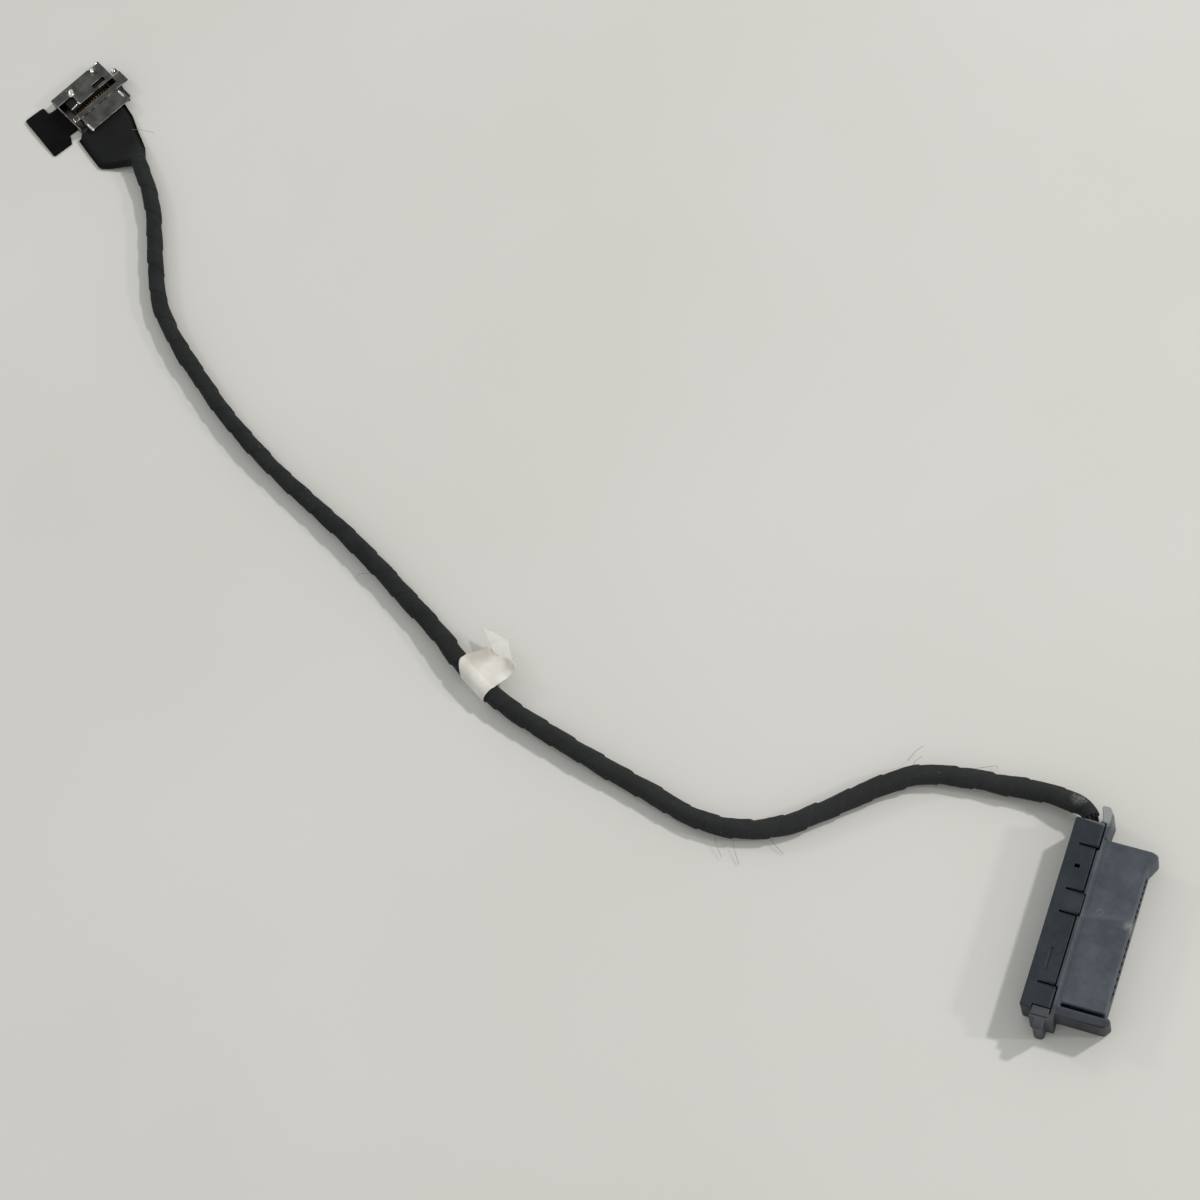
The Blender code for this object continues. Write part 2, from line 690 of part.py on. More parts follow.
def rail_span():
    """The rail's reach along q, between the clamp bar and the contact row."""
    rear = -SHELL_WIDTH / 2 + RAIL_PLACE
    return rear, rear + RAIL_WIDTH


def board_shell(material, parent):
    """The stamped shell: base, walls, a lip with a window, a rail with a boss, an end tab and lugs."""
    low = TAB_FILM + SEAT_GAP
    half_p, half_q = SHELL_LENGTH / 2, SHELL_WIDTH / 2
    base = box((-half_p, -half_q, low), (half_p, half_q, low + SHEET))
    lip_low = SHELL_HEIGHT - SHEET
    wall_low = low + SHEET / 2
    rail_rear, rail_front = rail_span()
    ends = [
        box((-half_p, -half_q, wall_low), (-half_p + SHEET, half_q, SHELL_HEIGHT)),
        box((half_p - SHEET, rail_rear, wall_low), (half_p, half_q, SHELL_HEIGHT)),
    ]
    front = box((-half_p, half_q - SHEET, wall_low), (half_p, half_q, SHELL_HEIGHT))
    lip = box((LIP_START, half_q - TOP_LIP, lip_low), (half_p, half_q, SHELL_HEIGHT))
    corner = box((-half_p, half_q - CORNER_LIP, lip_low), (LIP_START + SHEET, half_q, SHELL_HEIGHT))
    tab_end = half_p + END_TAB_REACH
    rail = box((-half_p, rail_rear, lip_low), (tab_end, rail_front, SHELL_HEIGHT))
    end_tab = box((half_p - SHEET, rail_front - SHEET, lip_low), (tab_end, rail_rear + END_TAB_WIDTH, SHELL_HEIGHT))
    lug_top = SHELL_HEIGHT + SHEET
    half_lug = LUG_SIZE / 2
    lugs = []
    for p, q in LUG_PLACES:
        lugs.append(box((p - half_lug, q - half_lug, lip_low), (p + half_lug, q + half_lug, lug_top), SHEET / 3))
    boss_p, boss_q = -half_p + BOSS_PLACE, (rail_rear + rail_front) / 2
    boss = rod((boss_p, boss_q, lip_low + SHEET / 2), (boss_p, boss_q, lug_top), BOSS_DIAMETER / 2, 16)
    win_p, win_q = WINDOW_SIZE
    at_p, at_q = WINDOW_PLACE
    window = box(
        (at_p - win_p / 2, at_q - win_q / 2, lip_low - OVERRUN / 4),
        (at_p + win_p / 2, at_q + win_q / 2, SHELL_HEIGHT + OVERRUN),
    )
    slit = box(
        (LIP_START - LIP_SLIT, half_q - CORNER_LIP - OVERRUN, lip_low - OVERRUN / 4),
        (LIP_START, half_q - LUG_SIZE / 2, SHELL_HEIGHT + OVERRUN),
    )
    forms = [*ends, front, lip, corner, rail, end_tab, *lugs, boss]
    return joined("board_shell", base, forms, [window, slit], material, parent)


def insulator_span():
    """The insulator's reach along q and its lowest and highest faces."""
    rear, front = rail_span()[0], SHELL_WIDTH / 2 - SHEET - SEAT_GAP
    return rear, front, TAB_FILM + SHEET + 2 * SEAT_GAP, SHELL_HEIGHT - SHEET - SEAT_GAP


def contact_slot_middle():
    return (rail_span()[1] + SHELL_WIDTH / 2 - TOP_LIP) / 2


def board_housing(material, parent):
    """The insulator, with an open slot for the contact row."""
    rear, front, floor, top = insulator_span()
    half_p = INSULATOR_LENGTH / 2
    block = box((-half_p, rear, floor), (half_p, front, top), HOUSING_EDGE / 2)
    middle = contact_slot_middle()
    reach = BOARD_CONTACT_PITCH * BOARD_CONTACT_COUNT / 2 + BOARD_CONTACT_WIDTH
    slot = box(
        (-reach, middle - CONTACT_SLOT_WIDTH / 2, top - CONTACT_SLOT_DEPTH),
        (reach, middle + CONTACT_SLOT_WIDTH / 2, top + OVERRUN),
    )
    return joined("board_housing", block, [], [slot], material, parent)


def board_contact_mesh(name):
    """A gold contact: a foot on the slot's floor and a beam that rises to the mating side."""
    floor = insulator_span()[3] - CONTACT_SLOT_DEPTH + SEAT_GAP
    half_slot = CONTACT_SLOT_WIDTH / 2 - SEAT_GAP
    sheet = CONTACT_THICKNESS
    rise = CONTACT_SLOT_DEPTH - 2 * SEAT_GAP
    outline = [
        (-half_slot, floor),
        (half_slot, floor),
        (half_slot, floor + sheet),
        (-half_slot + sheet * 1.5, floor + sheet),
        (sheet, floor + rise),
        (-sheet, floor + rise),
        (-half_slot, floor + sheet),
    ]
    bm = prism(
        outline,
        -BOARD_CONTACT_WIDTH / 2,
        BOARD_CONTACT_WIDTH / 2,
        lambda q, z, p: (p, contact_slot_middle() + q, z),
    )
    return mesh_from(bm, name)


def clamp_bar(material, parent):
    """The metal bar over the solder row and the tape's end: a plate on two legs, its ends rolled."""
    front = rail_span()[0] - SEAT_GAP
    rear = front - BAR_WIDTH
    start, end = BAR_START, BAR_START + BAR_LENGTH
    low = TAB_FILM + SHEET + 2 * SEAT_GAP
    under = SHELL_HEIGHT - SHEET
    plate = box((start, rear, under), (end, front, SHELL_HEIGHT), SHEET / 4)
    additions = []
    for outer, inner in ((start, start + SHEET), (end - SHEET, end)):
        additions.append(box((outer, -SHELL_WIDTH / 2, low), (inner, front - SHEET, under + SHEET / 2)))
    for p in (start, end):
        additions.append(rod((p, rear, under), (p, rear + BAR_ROLL, under), SHEET * 1.5, 10))
    return joined("board_clamp_bar", plate, additions, [], material, parent)


def pull_tab(material, parent):
    """The film pull tab: a strip under the shell, a neck and a wide head, all a little askew."""
    neck, head = TAB_NECK_WIDTH / 2, TAB_HEAD_WIDTH / 2
    neck_end = -TAB_NECK_LENGTH
    head_end = neck_end - TAB_HEAD_LENGTH
    corner = TAB_HEAD_LENGTH / 8
    outline = [
        (TAB_UNDERLAP, -neck),
        (TAB_UNDERLAP, neck),
        (neck_end + corner, neck),
        (neck_end, neck + corner),
        (neck_end, head - corner),
        (neck_end - corner, head),
        (head_end + corner, head),
        (head_end, head - corner),
        (head_end, -head + corner),
        (head_end + corner, -head),
        (neck_end - corner, -head),
        (neck_end, -head + corner),
        (neck_end, -neck - corner),
        (neck_end + corner, -neck),
    ]
    tab = prism(outline, 0, TAB_FILM, from_above)
    turn = Matrix.Rotation(math.radians(TAB_TURN), 4, "Z")
    bmesh.ops.transform(tab, matrix=Matrix.Translation((-SHELL_LENGTH / 2, TAB_SHIFT, 0)) @ turn, verts=tab.verts)
    return link("board_pull_tab", mesh_from(tab, "board_pull_tab"), material, parent)


def tape_fan(material, parent):
    """The taped wires: a flat four-sided fan behind the connector, round where it meets the cable."""
    attach_q = -SHELL_WIDTH / 2 - SHEET - SEAT_GAP
    end, before = Vector(CABLE_ROUTE[-1]), Vector(CABLE_ROUTE[-2])
    here = Matrix.Translation((*BOARD_CENTRE, 0)) @ Matrix.Rotation(math.radians(BOARD_HEADING), 4, "Z")
    heading = (here.inverted().to_3x3() @ (before - end)).normalized()
    last = here.inverted() @ end - heading * SEAT_GAP
    side_step = Vector((0, 0, 1)).cross(heading) * CABLE_RADIUS
    rows = []
    for left_p, left_gap, right_p, right_gap, share in FAN_STATIONS:
        rows.append((Vector((left_p, attach_q - left_gap, 0)), Vector((right_p, attach_q - right_gap, 0)), share))
    rows.append((last - side_step, last + side_step, 1.0))
    bm = bmesh.new()
    rings = []
    for left, right, share in rows:
        half_tall = FAN_THICKNESS / 2 * (1 - share) + CABLE_RADIUS * share
        middle, half_wide = (left + right) / 2, (right - left) / 2
        middle.z = (FAN_THICKNESS / 2 + SEAT_GAP) * (1 - share) + last.z * share
        half_wide.z = 0
        power = FAN_EDGE_POWER * (1 - share) + share
        ring = []
        for i in range(FAN_RING_POINTS):
            angle = 2 * math.pi * i / FAN_RING_POINTS
            c, s = math.cos(angle), math.sin(angle)
            wide, tall = math.copysign(abs(c) ** power, c), math.copysign(abs(s) ** power, s)
            ring.append(bm.verts.new(middle + half_wide * wide + Vector((0, 0, half_tall * tall))))
        rings.append(ring)
    for first, second in zip(rings, rings[1:]):
        for i in range(FAN_RING_POINTS):
            j = (i + 1) % FAN_RING_POINTS
            bm.faces.new((first[i], first[j], second[j], second[i]))
    bm.faces.new(rings[0])
    bm.faces.new(rings[-1])
    made = link("tape_fan", mesh_from(bm, "tape_fan"), material, parent)
    made.data.shade_smooth()
    made.data.set_sharp_from_angle(angle=math.radians(50))
    return made


def cable_points():
    """The middle of the cable: straight through the cover's hole, then smooth along the route."""
    return [Vector(CABLE_ROUTE[0])] + smooth_path(CABLE_ROUTE[1:], CABLE_POINT_SPACING)


def main():
    clear_scene()
    slate = plain_material("slate_plastic", "#535A61", 0.55)
    dark_slate = plain_material("dark_slate_plastic", "#343A40", 0.5)
    cloth_tape = plain_material("cloth_tape", "#2A2B2B", 0.85)
    black_film = plain_material("black_film", "#191919", 0.4)
    label_film = plain_material("label_film", "#D8D5CC", 0.35)
    shell_metal = plain_material("shell_metal", "#8C8B87", 0.35, 1.0)
    gold = plain_material("gold_contact", "#C9A24A", 0.3, 1.0)
    insulator = plain_material("insulator_plastic", "#2B2A28", 0.5)
    wire_jacket = plain_material("wire_jacket", "#3A3A3C", 0.5)

    signal_places = row_places(SIGNAL_START, SIGNAL_LENGTH, SIGNAL_COUNT, SIGNAL_PITCH)
    power_places = row_places(POWER_START, POWER_LENGTH, POWER_COUNT, POWER_PITCH)
    contact_places = power_places + signal_places

    rear_cover(dark_slate)
    drive_housing(slate, contact_places)
    contact_mesh = drive_contact_mesh("drive_contact")
    contact_mesh.materials.append(gold)
    for family, places in (("power", power_places), ("signal", signal_places)):
        for number, x in enumerate(places, 1):
            link(f"{family}_contact_{number}", contact_mesh).location.x = x
    for number, x in enumerate(contact_places):
        tube(f"wire_{number + 1:02d}", wire_path(number, x), WIRE_DIAMETER, 1, wire_jacket)

    middle_of_cable = cable_points()
    tube("cable_sleeve", middle_of_cable, CABLE_DIAMETER, 2, cloth_tape)
    label_flag(label_film, middle_of_cable)

    board = board_frame()
    board_shell(shell_metal, board)
    board_housing(insulator, board)
    pin_mesh = board_contact_mesh("board_contact")
    pin_mesh.materials.append(gold)
    for number in range(BOARD_CONTACT_COUNT):
        pin = link(f"board_contact_{number + 1:02d}", pin_mesh, parent=board)
        pin.location.x = BOARD_CONTACT_PITCH * (number - (BOARD_CONTACT_COUNT - 1) / 2)
    clamp_bar(shell_metal, board)
    pull_tab(black_film, board)
    tape_fan(cloth_tape, board)


main()
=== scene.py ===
"""The looks of an optical drive adapter cable: slate receptacle, cloth-taped cable, small metal connector.

Metres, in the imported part's frame: +X along the receptacle, its mouth towards -Y, +Z up from the table.
"""

import json
import math
import random

import bmesh
import bpy
from mathutils import Matrix, Vector, noise


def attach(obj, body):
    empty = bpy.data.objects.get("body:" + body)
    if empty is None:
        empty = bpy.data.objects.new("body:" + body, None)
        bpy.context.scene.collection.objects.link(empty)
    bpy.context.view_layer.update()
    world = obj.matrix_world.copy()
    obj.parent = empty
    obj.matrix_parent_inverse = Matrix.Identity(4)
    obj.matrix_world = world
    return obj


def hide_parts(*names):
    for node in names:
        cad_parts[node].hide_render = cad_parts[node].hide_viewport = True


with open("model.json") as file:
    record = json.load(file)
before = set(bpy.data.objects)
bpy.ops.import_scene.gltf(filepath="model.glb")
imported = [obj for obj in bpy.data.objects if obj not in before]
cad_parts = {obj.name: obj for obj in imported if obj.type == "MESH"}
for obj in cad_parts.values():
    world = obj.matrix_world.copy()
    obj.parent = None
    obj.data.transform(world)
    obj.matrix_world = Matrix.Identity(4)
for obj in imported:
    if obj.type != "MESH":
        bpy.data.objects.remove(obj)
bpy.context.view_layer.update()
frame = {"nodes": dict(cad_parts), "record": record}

MM = 0.001

# Camera: it looks down from beyond the receptacle's lower left corner
CAMERA_PLACE = (-0.13042, -0.05628, 0.45838)
CAMERA_RIGHT = (0.32883, -0.92528, -0.18902)
CAMERA_FORWARD = (0.32160, 0.29790, -0.89879)
LENS_MM = 90.0
SENSOR_MM = 36.0
TABLE_MIDDLE = (0.05, 0.1, 0.0)

# Cable, as in the part's source
CABLE_DIAMETER = 0.0032
CABLE_ROUTE = (
    (0.0149, 0.00465, 0.00330),
    (0.0164, 0.00468, 0.00330),
    (0.0178, 0.00550, 0.00322),
    (0.0189, 0.00760, 0.00300),
    (0.0195, 0.01080, 0.00250),
    (0.0197, 0.01470, 0.00195),
    (0.0194, 0.01950, 0.00168),
    (0.0189, 0.02700, 0.00165),
    (0.0172, 0.03420, 0.00165),
    (0.0127, 0.04070, 0.00165),
    (0.0074, 0.04690, 0.00165),
    (0.0027, 0.05320, 0.00165),
    (0.0004, 0.06080, 0.00165),
    (0.0006, 0.06780, 0.00165),
    (0.0024, 0.07450, 0.00165),
    (0.0051, 0.08550, 0.00165),
    (0.0083, 0.09700, 0.00180),
    (0.0110, 0.10510, 0.00208),
    (0.0136, 0.11040, 0.00208),
    (0.0165, 0.11540, 0.00208),
    (0.0201, 0.12040, 0.00180),
    (0.0257, 0.12970, 0.00165),
    (0.0316, 0.14000, 0.00165),
    (0.0370, 0.15080, 0.00165),
    (0.0423, 0.16140, 0.00165),
    (0.0484, 0.17160, 0.00165),
    (0.0556, 0.18130, 0.00165),
    (0.0620, 0.18910, 0.00165),
    (0.0685, 0.19500, 0.00165),
    (0.0765, 0.19920, 0.00165),
    (0.0850, 0.20320, 0.00165),
    (0.0905, 0.20680, 0.00165),
    (0.0951, 0.21070, 0.00165),
)
TAPE_START = 0.0024  # along the route from the cover, where the tape begins and the wires show
TAPE_PITCH = 0.0058  # from one lap of the tape to the next
TAPE_LAP = 0.00024  # height of a lap's edge
TAPE_TAPER = 0.0050  # how far the tape narrows down towards the bare wires
THIN_FROM = 0.1500  # past here the bundle is wrapped tighter
THIN_FACTOR = 0.91
FIRST_WIDTH = 0.78  # share of the full width where the tape starts
LUMP_LENGTH = 0.0060
LUMP_HEIGHT = 0.00017
PUCKER_LENGTH = 0.0013
PUCKER_HEIGHT = 0.00006
WIRE_LOBES = 5  # ridges of the twisted wires under the tape
LOBE_TURN = 0.045  # length of one turn of the wires
LOBE_HEIGHT = 0.000025
RING_SPACING = 0.00022
RING_POINTS = 36
THREAD_SPACING = 0.00034  # the real cloth has about 0.2 mm, drawn coarser so that it shows
WAVE_PERIOD = 0.314  # distance between a wave texture's bands at scale 1
FRAYED_TAPE = (0.0196, 0.0078, 0.0046)

# Bare wires at the receptacle
BARE_WIRE_COUNT = 13
BARE_WIRE_DIAMETER = 0.00062
WIRES_INSIDE = 0.0004  # they begin this far before the route, inside the cover
WIRES_UNDER_TAPE = 0.0030  # and go on this far under the tape

# Slits of the rear cover, along X, and where they start and end along Y
COVER_SLITS = (0.0116, 0.0040, 0.0002, -0.0116)
SLIT_REAR = 0.0053
COVER_FRONT = 0.0023
LATCH_TONGUE = (0.0021, 0.0034, 0.0066)
END_BAR_X = 0.01522  # where the light bar at the cover's end starts, at Y 0
END_BAR_LEAN = 0.0695  # X for each Y
END_BAR_BACK = 0.0054

# Marks on the receptacle
ARM_TOP_X = -0.0141  # the -X guide arm's top starts here
ARM_LEAN = 0.064  # X for each Y along its dark line
ARM_LINE_X = 0.01605  # how far the dark line lies from the middle, at Y 0
ARM_RIM_X = 0.0163
ARM_REAR_Y = 0.0009
CORNER_SHADE_FRONT, CORNER_SHADE_BACK = 0.0011, 0.0018  # painted shade in the corner under the flange, along Y
CREASE_LEAN = 0.19  # X for each Y along the crease
CREASE_WIDTH = 0.0015

# Label, in its own frame: along the cable towards the board connector, and out to the side of its flag
LABEL_MIDDLE = (0.01365, 0.11040, 0.00208)
LABEL_OUT = (0.866, -0.500, 0.0)
LABEL_WRAP = 0.00184  # radius of the film round the tape
LABEL_FILM = 0.00015
LABEL_LOW_END = -0.00375  # ends of the film along the cable, at the cable itself
LABEL_HIGH_END = 0.00431
LABEL_LEAVE = 62.0  # angle at which the flag leaves the cable
LABEL_FLAG_Z = 0.00300
LABEL_ROUNDING = 0.0013
LABEL_WRAP_START = 236.0  # angle at which the film starts, under the cable
LABEL_CUT_BACK = 0.0021  # how much shorter the film is where it passes over the cable
LABEL_CURL = 0.0009
FLAG_END = (0.00294, 0.00519)  # a point of the flag's free end, along and out
FLAG_END_SLANT = 0.166
FLAG_LOW_SLANT = 0.052
FLAG_HIGH_SLANT = 0.348
FLAG_HIGH_FROM = 0.00125  # out to here the flag's far edge isn't slanted
# Painted brown shade inside the label's curled corner
CURL_SHADE_SPOT = (0.0181, 0.1050, 0.0040)
# Painted grey shade on part of the flag
FLAG_SHADE_PATCH = (0.0182, 0.1116, 0.0034)
LAMINATE_FILM = 0.00008
LAMINATE_CORNERS = (
    ((0.00110, 0.00480, 0.00325), (-0.00250, 0.00610, 0.00325)),
    ((0.00690, 0.00660, 0.00290), (0.00150, 0.00830, 0.00280)),
)

# Board connector, in its own frame: p along its length, q away from the wires
BOARD_CENTRE = (0.1061, 0.2259, 0.0)
BOARD_HEADING = -29.0
BOARD = Matrix.Translation(BOARD_CENTRE) @ Matrix.Rotation(math.radians(BOARD_HEADING), 4, "Z")

# Rolled ends and bent lugs of the shell and bar: p, q, height of the top, length, heading in degrees,
# half width
BENT_LUGS = (
    (-0.0041, -0.0058, 0.00236, 0.0023, 90.0, 0.00032),
    (0.0046, -0.0044, 0.00234, 0.0021, 90.0, 0.00028),
    (-0.0021, 0.0031, 0.00264, 0.0018, 60.0, 0.00056),
    (0.0038, 0.0040, 0.00260, 0.0012, 60.0, 0.00040),
    (0.0067, 0.0008, 0.00256, 0.0011, 60.0, 0.00046),
    (-0.0035, 0.0002, 0.00228, 0.0017, 8.0, 0.00016),
    (-0.0024, 0.0003, 0.00232, 0.0008, 100.0, 0.00020),
    (0.0044, 0.0048, 0.00230, 0.0024, 0.0, 0.00018),
    (-0.0046, -0.0023, 0.00234, 0.0008, 100.0, 0.00016),
    (-0.0054, -0.0024, 0.00234, 0.0008, 80.0, 0.00016),
    (-0.0050, -0.0019, 0.00234, 0.0008, 0.0, 0.00014),
)
LUG_CREST = 0.00036  # most height of a crest's round
LUG_DEPTH = 0.00060  # from a crest's top to its foot inside the shell
BRIGHT_CONTACTS = (0.1068, 0.2253, 0.0015)  # the cleanest of the gold contacts
SHELL_STAIN = (-0.0045, -0.0010, 0.0010)  # brown stain, in the board connector's frame
SHELL_SHADE = (0.0031, 0.0010)  # painted shade round the window, in the same frame
SHADE_SQUEEZE = (0.55, 1.3)  # it is longer along p than along q

# Taped fan behind it
FAN_START_Q = -0.00525
FAN_THICKNESS = 0.0014
FAN_MARGIN = 0.0007  # flat tape past the wires at each side
FAN_RING = 72  # points round it
# Left p, left distance from the bar, right p, right distance, share of the cable's roundness
FAN_STATIONS = (
    (-0.0073, 0.0000, 0.0040, 0.0000, 0.0),
    (-0.0078, 0.0038, 0.0033, 0.0038, 0.0),
    (-0.0082, 0.0076, 0.0018, 0.0077, 0.0),
    (-0.0080, 0.0083, 0.0015, 0.0087, 0.0),
    (-0.0068, 0.0097, 0.0010, 0.0102, 0.15),
    (-0.0054, 0.0112, 0.0005, 0.0117, 0.5),
)

# Pull tab, in its own frame: x towards the shell, y along the shell's width
TAB_PLACE = (-0.0059, 0.0007, 0.0)
TAB_TURN = -4.5
TAB_FILM = 0.00015
TAB_OUTLINE = (
    (0.0050, -0.0035),
    (0.0050, 0.0035),
    (-0.0021, 0.0035),
    (-0.0021, 0.0054),
    (-0.0064, 0.0054),
    (-0.0064, -0.0054),
    (-0.0021, -0.0054),
    (-0.0021, -0.0035),
)
TAB_CORNER = 0.0005
TAB_CUTS = 0.0006  # spacing of the points that let it wave
TAB_WAVE = 0.00035


def linear(hex_colour):
    """The linear RGBA of an sRGB hex colour."""
    channels = [int(hex_colour[i : i + 2], 16) / 255 for i in (1, 3, 5)]
    return [c / 12.92 if c <= 0.04045 else ((c + 0.055) / 1.055) ** 2.4 for c in channels] + [1.0]


def place_camera():
    data = bpy.data.cameras.new("photo_camera")
    data.lens = LENS_MM
    data.sensor_width = SENSOR_MM
    data.clip_start = 0.01
    data.clip_end = 10.0
    camera = bpy.data.objects.new("photo_camera", data)
    bpy.context.scene.collection.objects.link(camera)
    right, forward = Vector(CAMERA_RIGHT).normalized(), Vector(CAMERA_FORWARD).normalized()
    turn = Matrix((right, right.cross(forward), -forward)).transposed().to_4x4()
    camera.matrix_world = Matrix.Translation(CAMERA_PLACE) @ turn
    bpy.context.scene.camera = camera


def smooth_path(points, spacing):
    """Evenly spaced points on the Catmull-Rom curve through the given points."""
    through = [Vector(p) for p in points]
    ends = [2 * through[0] - through[1]] + through + [2 * through[-1] - through[-2]]
    fine = []
    steps = 40
    for a, b, c, d in zip(ends, ends[1:], ends[2:], ends[3:]):
        for i in range(steps):
            t = i / steps
            bend = (2 * a - 5 * b + 4 * c - d) * t * t + (3 * b - a - 3 * c + d) * t**3
            fine.append((2 * b + (c - a) * t + bend) / 2)
    fine.append(through[-1])
    lengths = [0.0]
    for a, b in zip(fine, fine[1:]):
        lengths.append(lengths[-1] + (b - a).length)
    count = max(2, round(lengths[-1] / spacing))
    even = []
    i = 0
    for n in range(count + 1):
        reach = lengths[-1] * n / count
        while i < len(fine) - 2 and lengths[i + 1] < reach:
            i += 1
        share = (reach - lengths[i]) / (lengths[i + 1] - lengths[i])
        even.append(fine[i].lerp(fine[i + 1], min(1.0, share)))
    return even


def carried_frames(points):
    """For each point two axes across the line, which don't twist along it."""
    directions = []
    for i in range(len(points)):
        before, after = points[max(0, i - 1)], points[min(len(points) - 1, i + 1)]
        directions.append((after - before).normalized())
    side = directions[0].cross(Vector((0, 0, 1))).normalized()
    frames = []
    for direction in directions:
        side = (side - direction * side.dot(direction)).normalized()
        frames.append((side, side.cross(direction).normalized()))
    return frames


def eased(share):
    """0 to 1 with a soft start and end."""
    share = min(1.0, max(0.0, share))
    return share * share * (3 - 2 * share)


def made_object(name, bm, material, slot, sharp=40.0):
    """A piece from this mesh, riding on the part."""
    bmesh.ops.recalc_face_normals(bm, faces=bm.faces)
    mesh = bpy.data.meshes.new(name)
    bm.to_mesh(mesh)
    bm.free()
    made = bpy.data.objects.new(name, mesh)
    bpy.context.scene.collection.objects.link(made)
    mesh.materials.append(material)
    mesh.shade_smooth()
    mesh.set_sharp_from_angle(angle=math.radians(sharp))
    if slot:
        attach(made, "root")
    return made


def thicken(made, thickness):
    """Gives a sheet the thickness of its film, half to each side."""
    film = made.modifiers.new("film", "SOLIDIFY")
    film.thickness = thickness
    film.offset = 0.0
    return made


def join_rings(bm, rings):
    """Faces between rings of points, and a cap at each end."""
    for first, second in zip(rings, rings[1:]):
        for k in range(len(first)):
            j = (k + 1) % len(first)
            bm.faces.new((first[k], first[j], second[j], second[k]))
    bm.faces.new(rings[0][::-1])
    bm.faces.new(rings[-1])


def tube_into(bm, points, radius, sides):
    """Adds a round tube along the points, closed at both ends."""
    rings = []
    for point, (side, up) in zip(points, carried_frames(points)):
        ring = []
        for k in range(sides):
            angle = 2 * math.pi * k / sides
            ring.append(bm.verts.new(point + (side * math.cos(angle) + up * math.sin(angle)) * radius))
        rings.append(ring)
    join_rings(bm, rings)


def skin(bm, rings, places, closed):
    """Faces between rows of points, with each point's place on the sheet in metres as its UV. Closed rows are
    rings, and get a cap at each end."""
    uv = bm.loops.layers.uv.new("sheet")
    for r, (first, second) in enumerate(zip(rings, rings[1:])):
        count = len(first)
        for k in range(count if closed else count - 1):
            j = (k + 1) % count
            face = bm.faces.new((first[k], first[j], second[j], second[k]))
            over = k + 1
            spots = ((r, k), (r, over), (r + 1, over), (r + 1, k))
            for loop, (row, column) in zip(face.loops, spots):
                loop[uv].uv = places(row, column)
    if closed:
        bm.faces.new(rings[0][::-1])
        bm.faces.new(rings[-1])


def add(tree, kind, sockets, out=0, **settings):
    """Adds a node with its settings, fills its sockets with values or links, and gives one output."""
    made = tree.nodes.new("ShaderNode" + kind)
    for key, value in settings.items():
        setattr(made, key, value)
    for socket, value in sockets.items():
        if isinstance(value, bpy.types.NodeSocket):
            tree.links.new(value, made.inputs[socket])
        else:
            made.inputs[socket].default_value = value
    return made.outputs[out]


def near(tree, place, spot, full, none, most):
    """How much of a mark shows: the most of it within one distance of the spot, nothing past the other."""
    gap = add(tree, "VectorMath", {0: place, 1: spot}, "Value", operation="DISTANCE")
    return add(tree, "MapRange", {0: gap, 1: full, 2: none, 3: most, 4: 0.0})


def new_material(name, roughness, metallic=0.0, **sockets):
    """A material with its uniform values on the shader's own sockets, and the surface's place in metres."""
    made = bpy.data.materials.new(name)
    made.use_nodes = True
    shader = made.node_tree.nodes["Principled BSDF"]
    shader.inputs["Roughness"].default_value = roughness
    shader.inputs["Metallic"].default_value = metallic
    for socket, value in sockets.items():
        shader.inputs[socket.replace("_", " ")].default_value = value
    place = add(made.node_tree, "TexCoord", {}, "Object")
    return made, made.node_tree, shader, place


def dress(made, shader, links):
    """Gives the shader its varying colour, roughness and normal."""
    for socket, output in links.items():
        made.node_tree.links.new(output, shader.inputs[socket])
    return made


def moulded_plastic(name, low, high, rub, shine, roughness):
    """Glass-filled nylon from a spark-eroded mould: dull, cloudy where the melt flowed, with an even fine
    grain, softly rounded edges and a little polish where they are handled."""
    made, tree, shader, place = new_material(name, roughness, IOR=1.53, Specular_IOR_Level=shine)
    flow = add(tree, "TexNoise", {"Vector": place, "Scale": 1 / (5.0 * MM), "Detail": 3.0})
    strands = {"Vector": place, "Scale": 1 / (0.9 * MM), "Detail": 4.0, "Roughness": 0.6}
    fibre = add(tree, "TexNoise", strands)
    spark = add(tree, "TexNoise", {"Vector": place, "Scale": 1 / (0.3 * MM), "Detail": 2.0})
    cloud = add(tree, "MapRange", {0: flow, 1: 0.35, 2: 0.65, 3: 0.0, 4: 0.7})
    mottle = add(tree, "MapRange", {0: fibre, 1: 0.35, 2: 0.65, 3: 0.0, 4: 0.3})
    share = add(tree, "Math", {0: cloud, 1: mottle}, operation="ADD")
    tone = add(tree, "Mix", {0: share, 6: linear(low), 7: linear(high)}, 2, data_type="RGBA")
    rounded = add(tree, "Bevel", {"Radius": 0.16 * MM}, samples=6)
    flat = add(tree, "NewGeometry", {}, "Normal")
    turned = add(tree, "VectorMath", {0: rounded, 1: flat}, "Value", operation="DOT_PRODUCT")
    edge = add(tree, "MapRange", {0: turned, 1: 0.985, 2: 0.90, 3: 0.0, 4: 0.8})
    wear = add(tree, "MapRange", {0: fibre, 1: 0.35, 2: 0.60, 3: 0.25, 4: 1.0})
    rubbed = add(tree, "Math", {0: edge, 1: wear}, operation="MULTIPLY")
    tone = add(tree, "Mix", {0: rubbed, 6: tone, 7: linear(rub)}, 2, data_type="RGBA")
    gloss = add(tree, "MapRange", {0: fibre, 1: 0.3, 2: 0.7, 3: roughness - 0.06, 4: roughness + 0.08})
    grain = add(tree, "Bump", {"Height": spark, "Distance": 0.010 * MM, "Normal": rounded})
    return made, tree, shader, place, {"Base Color": tone, "Roughness": gloss, "Normal": grain}


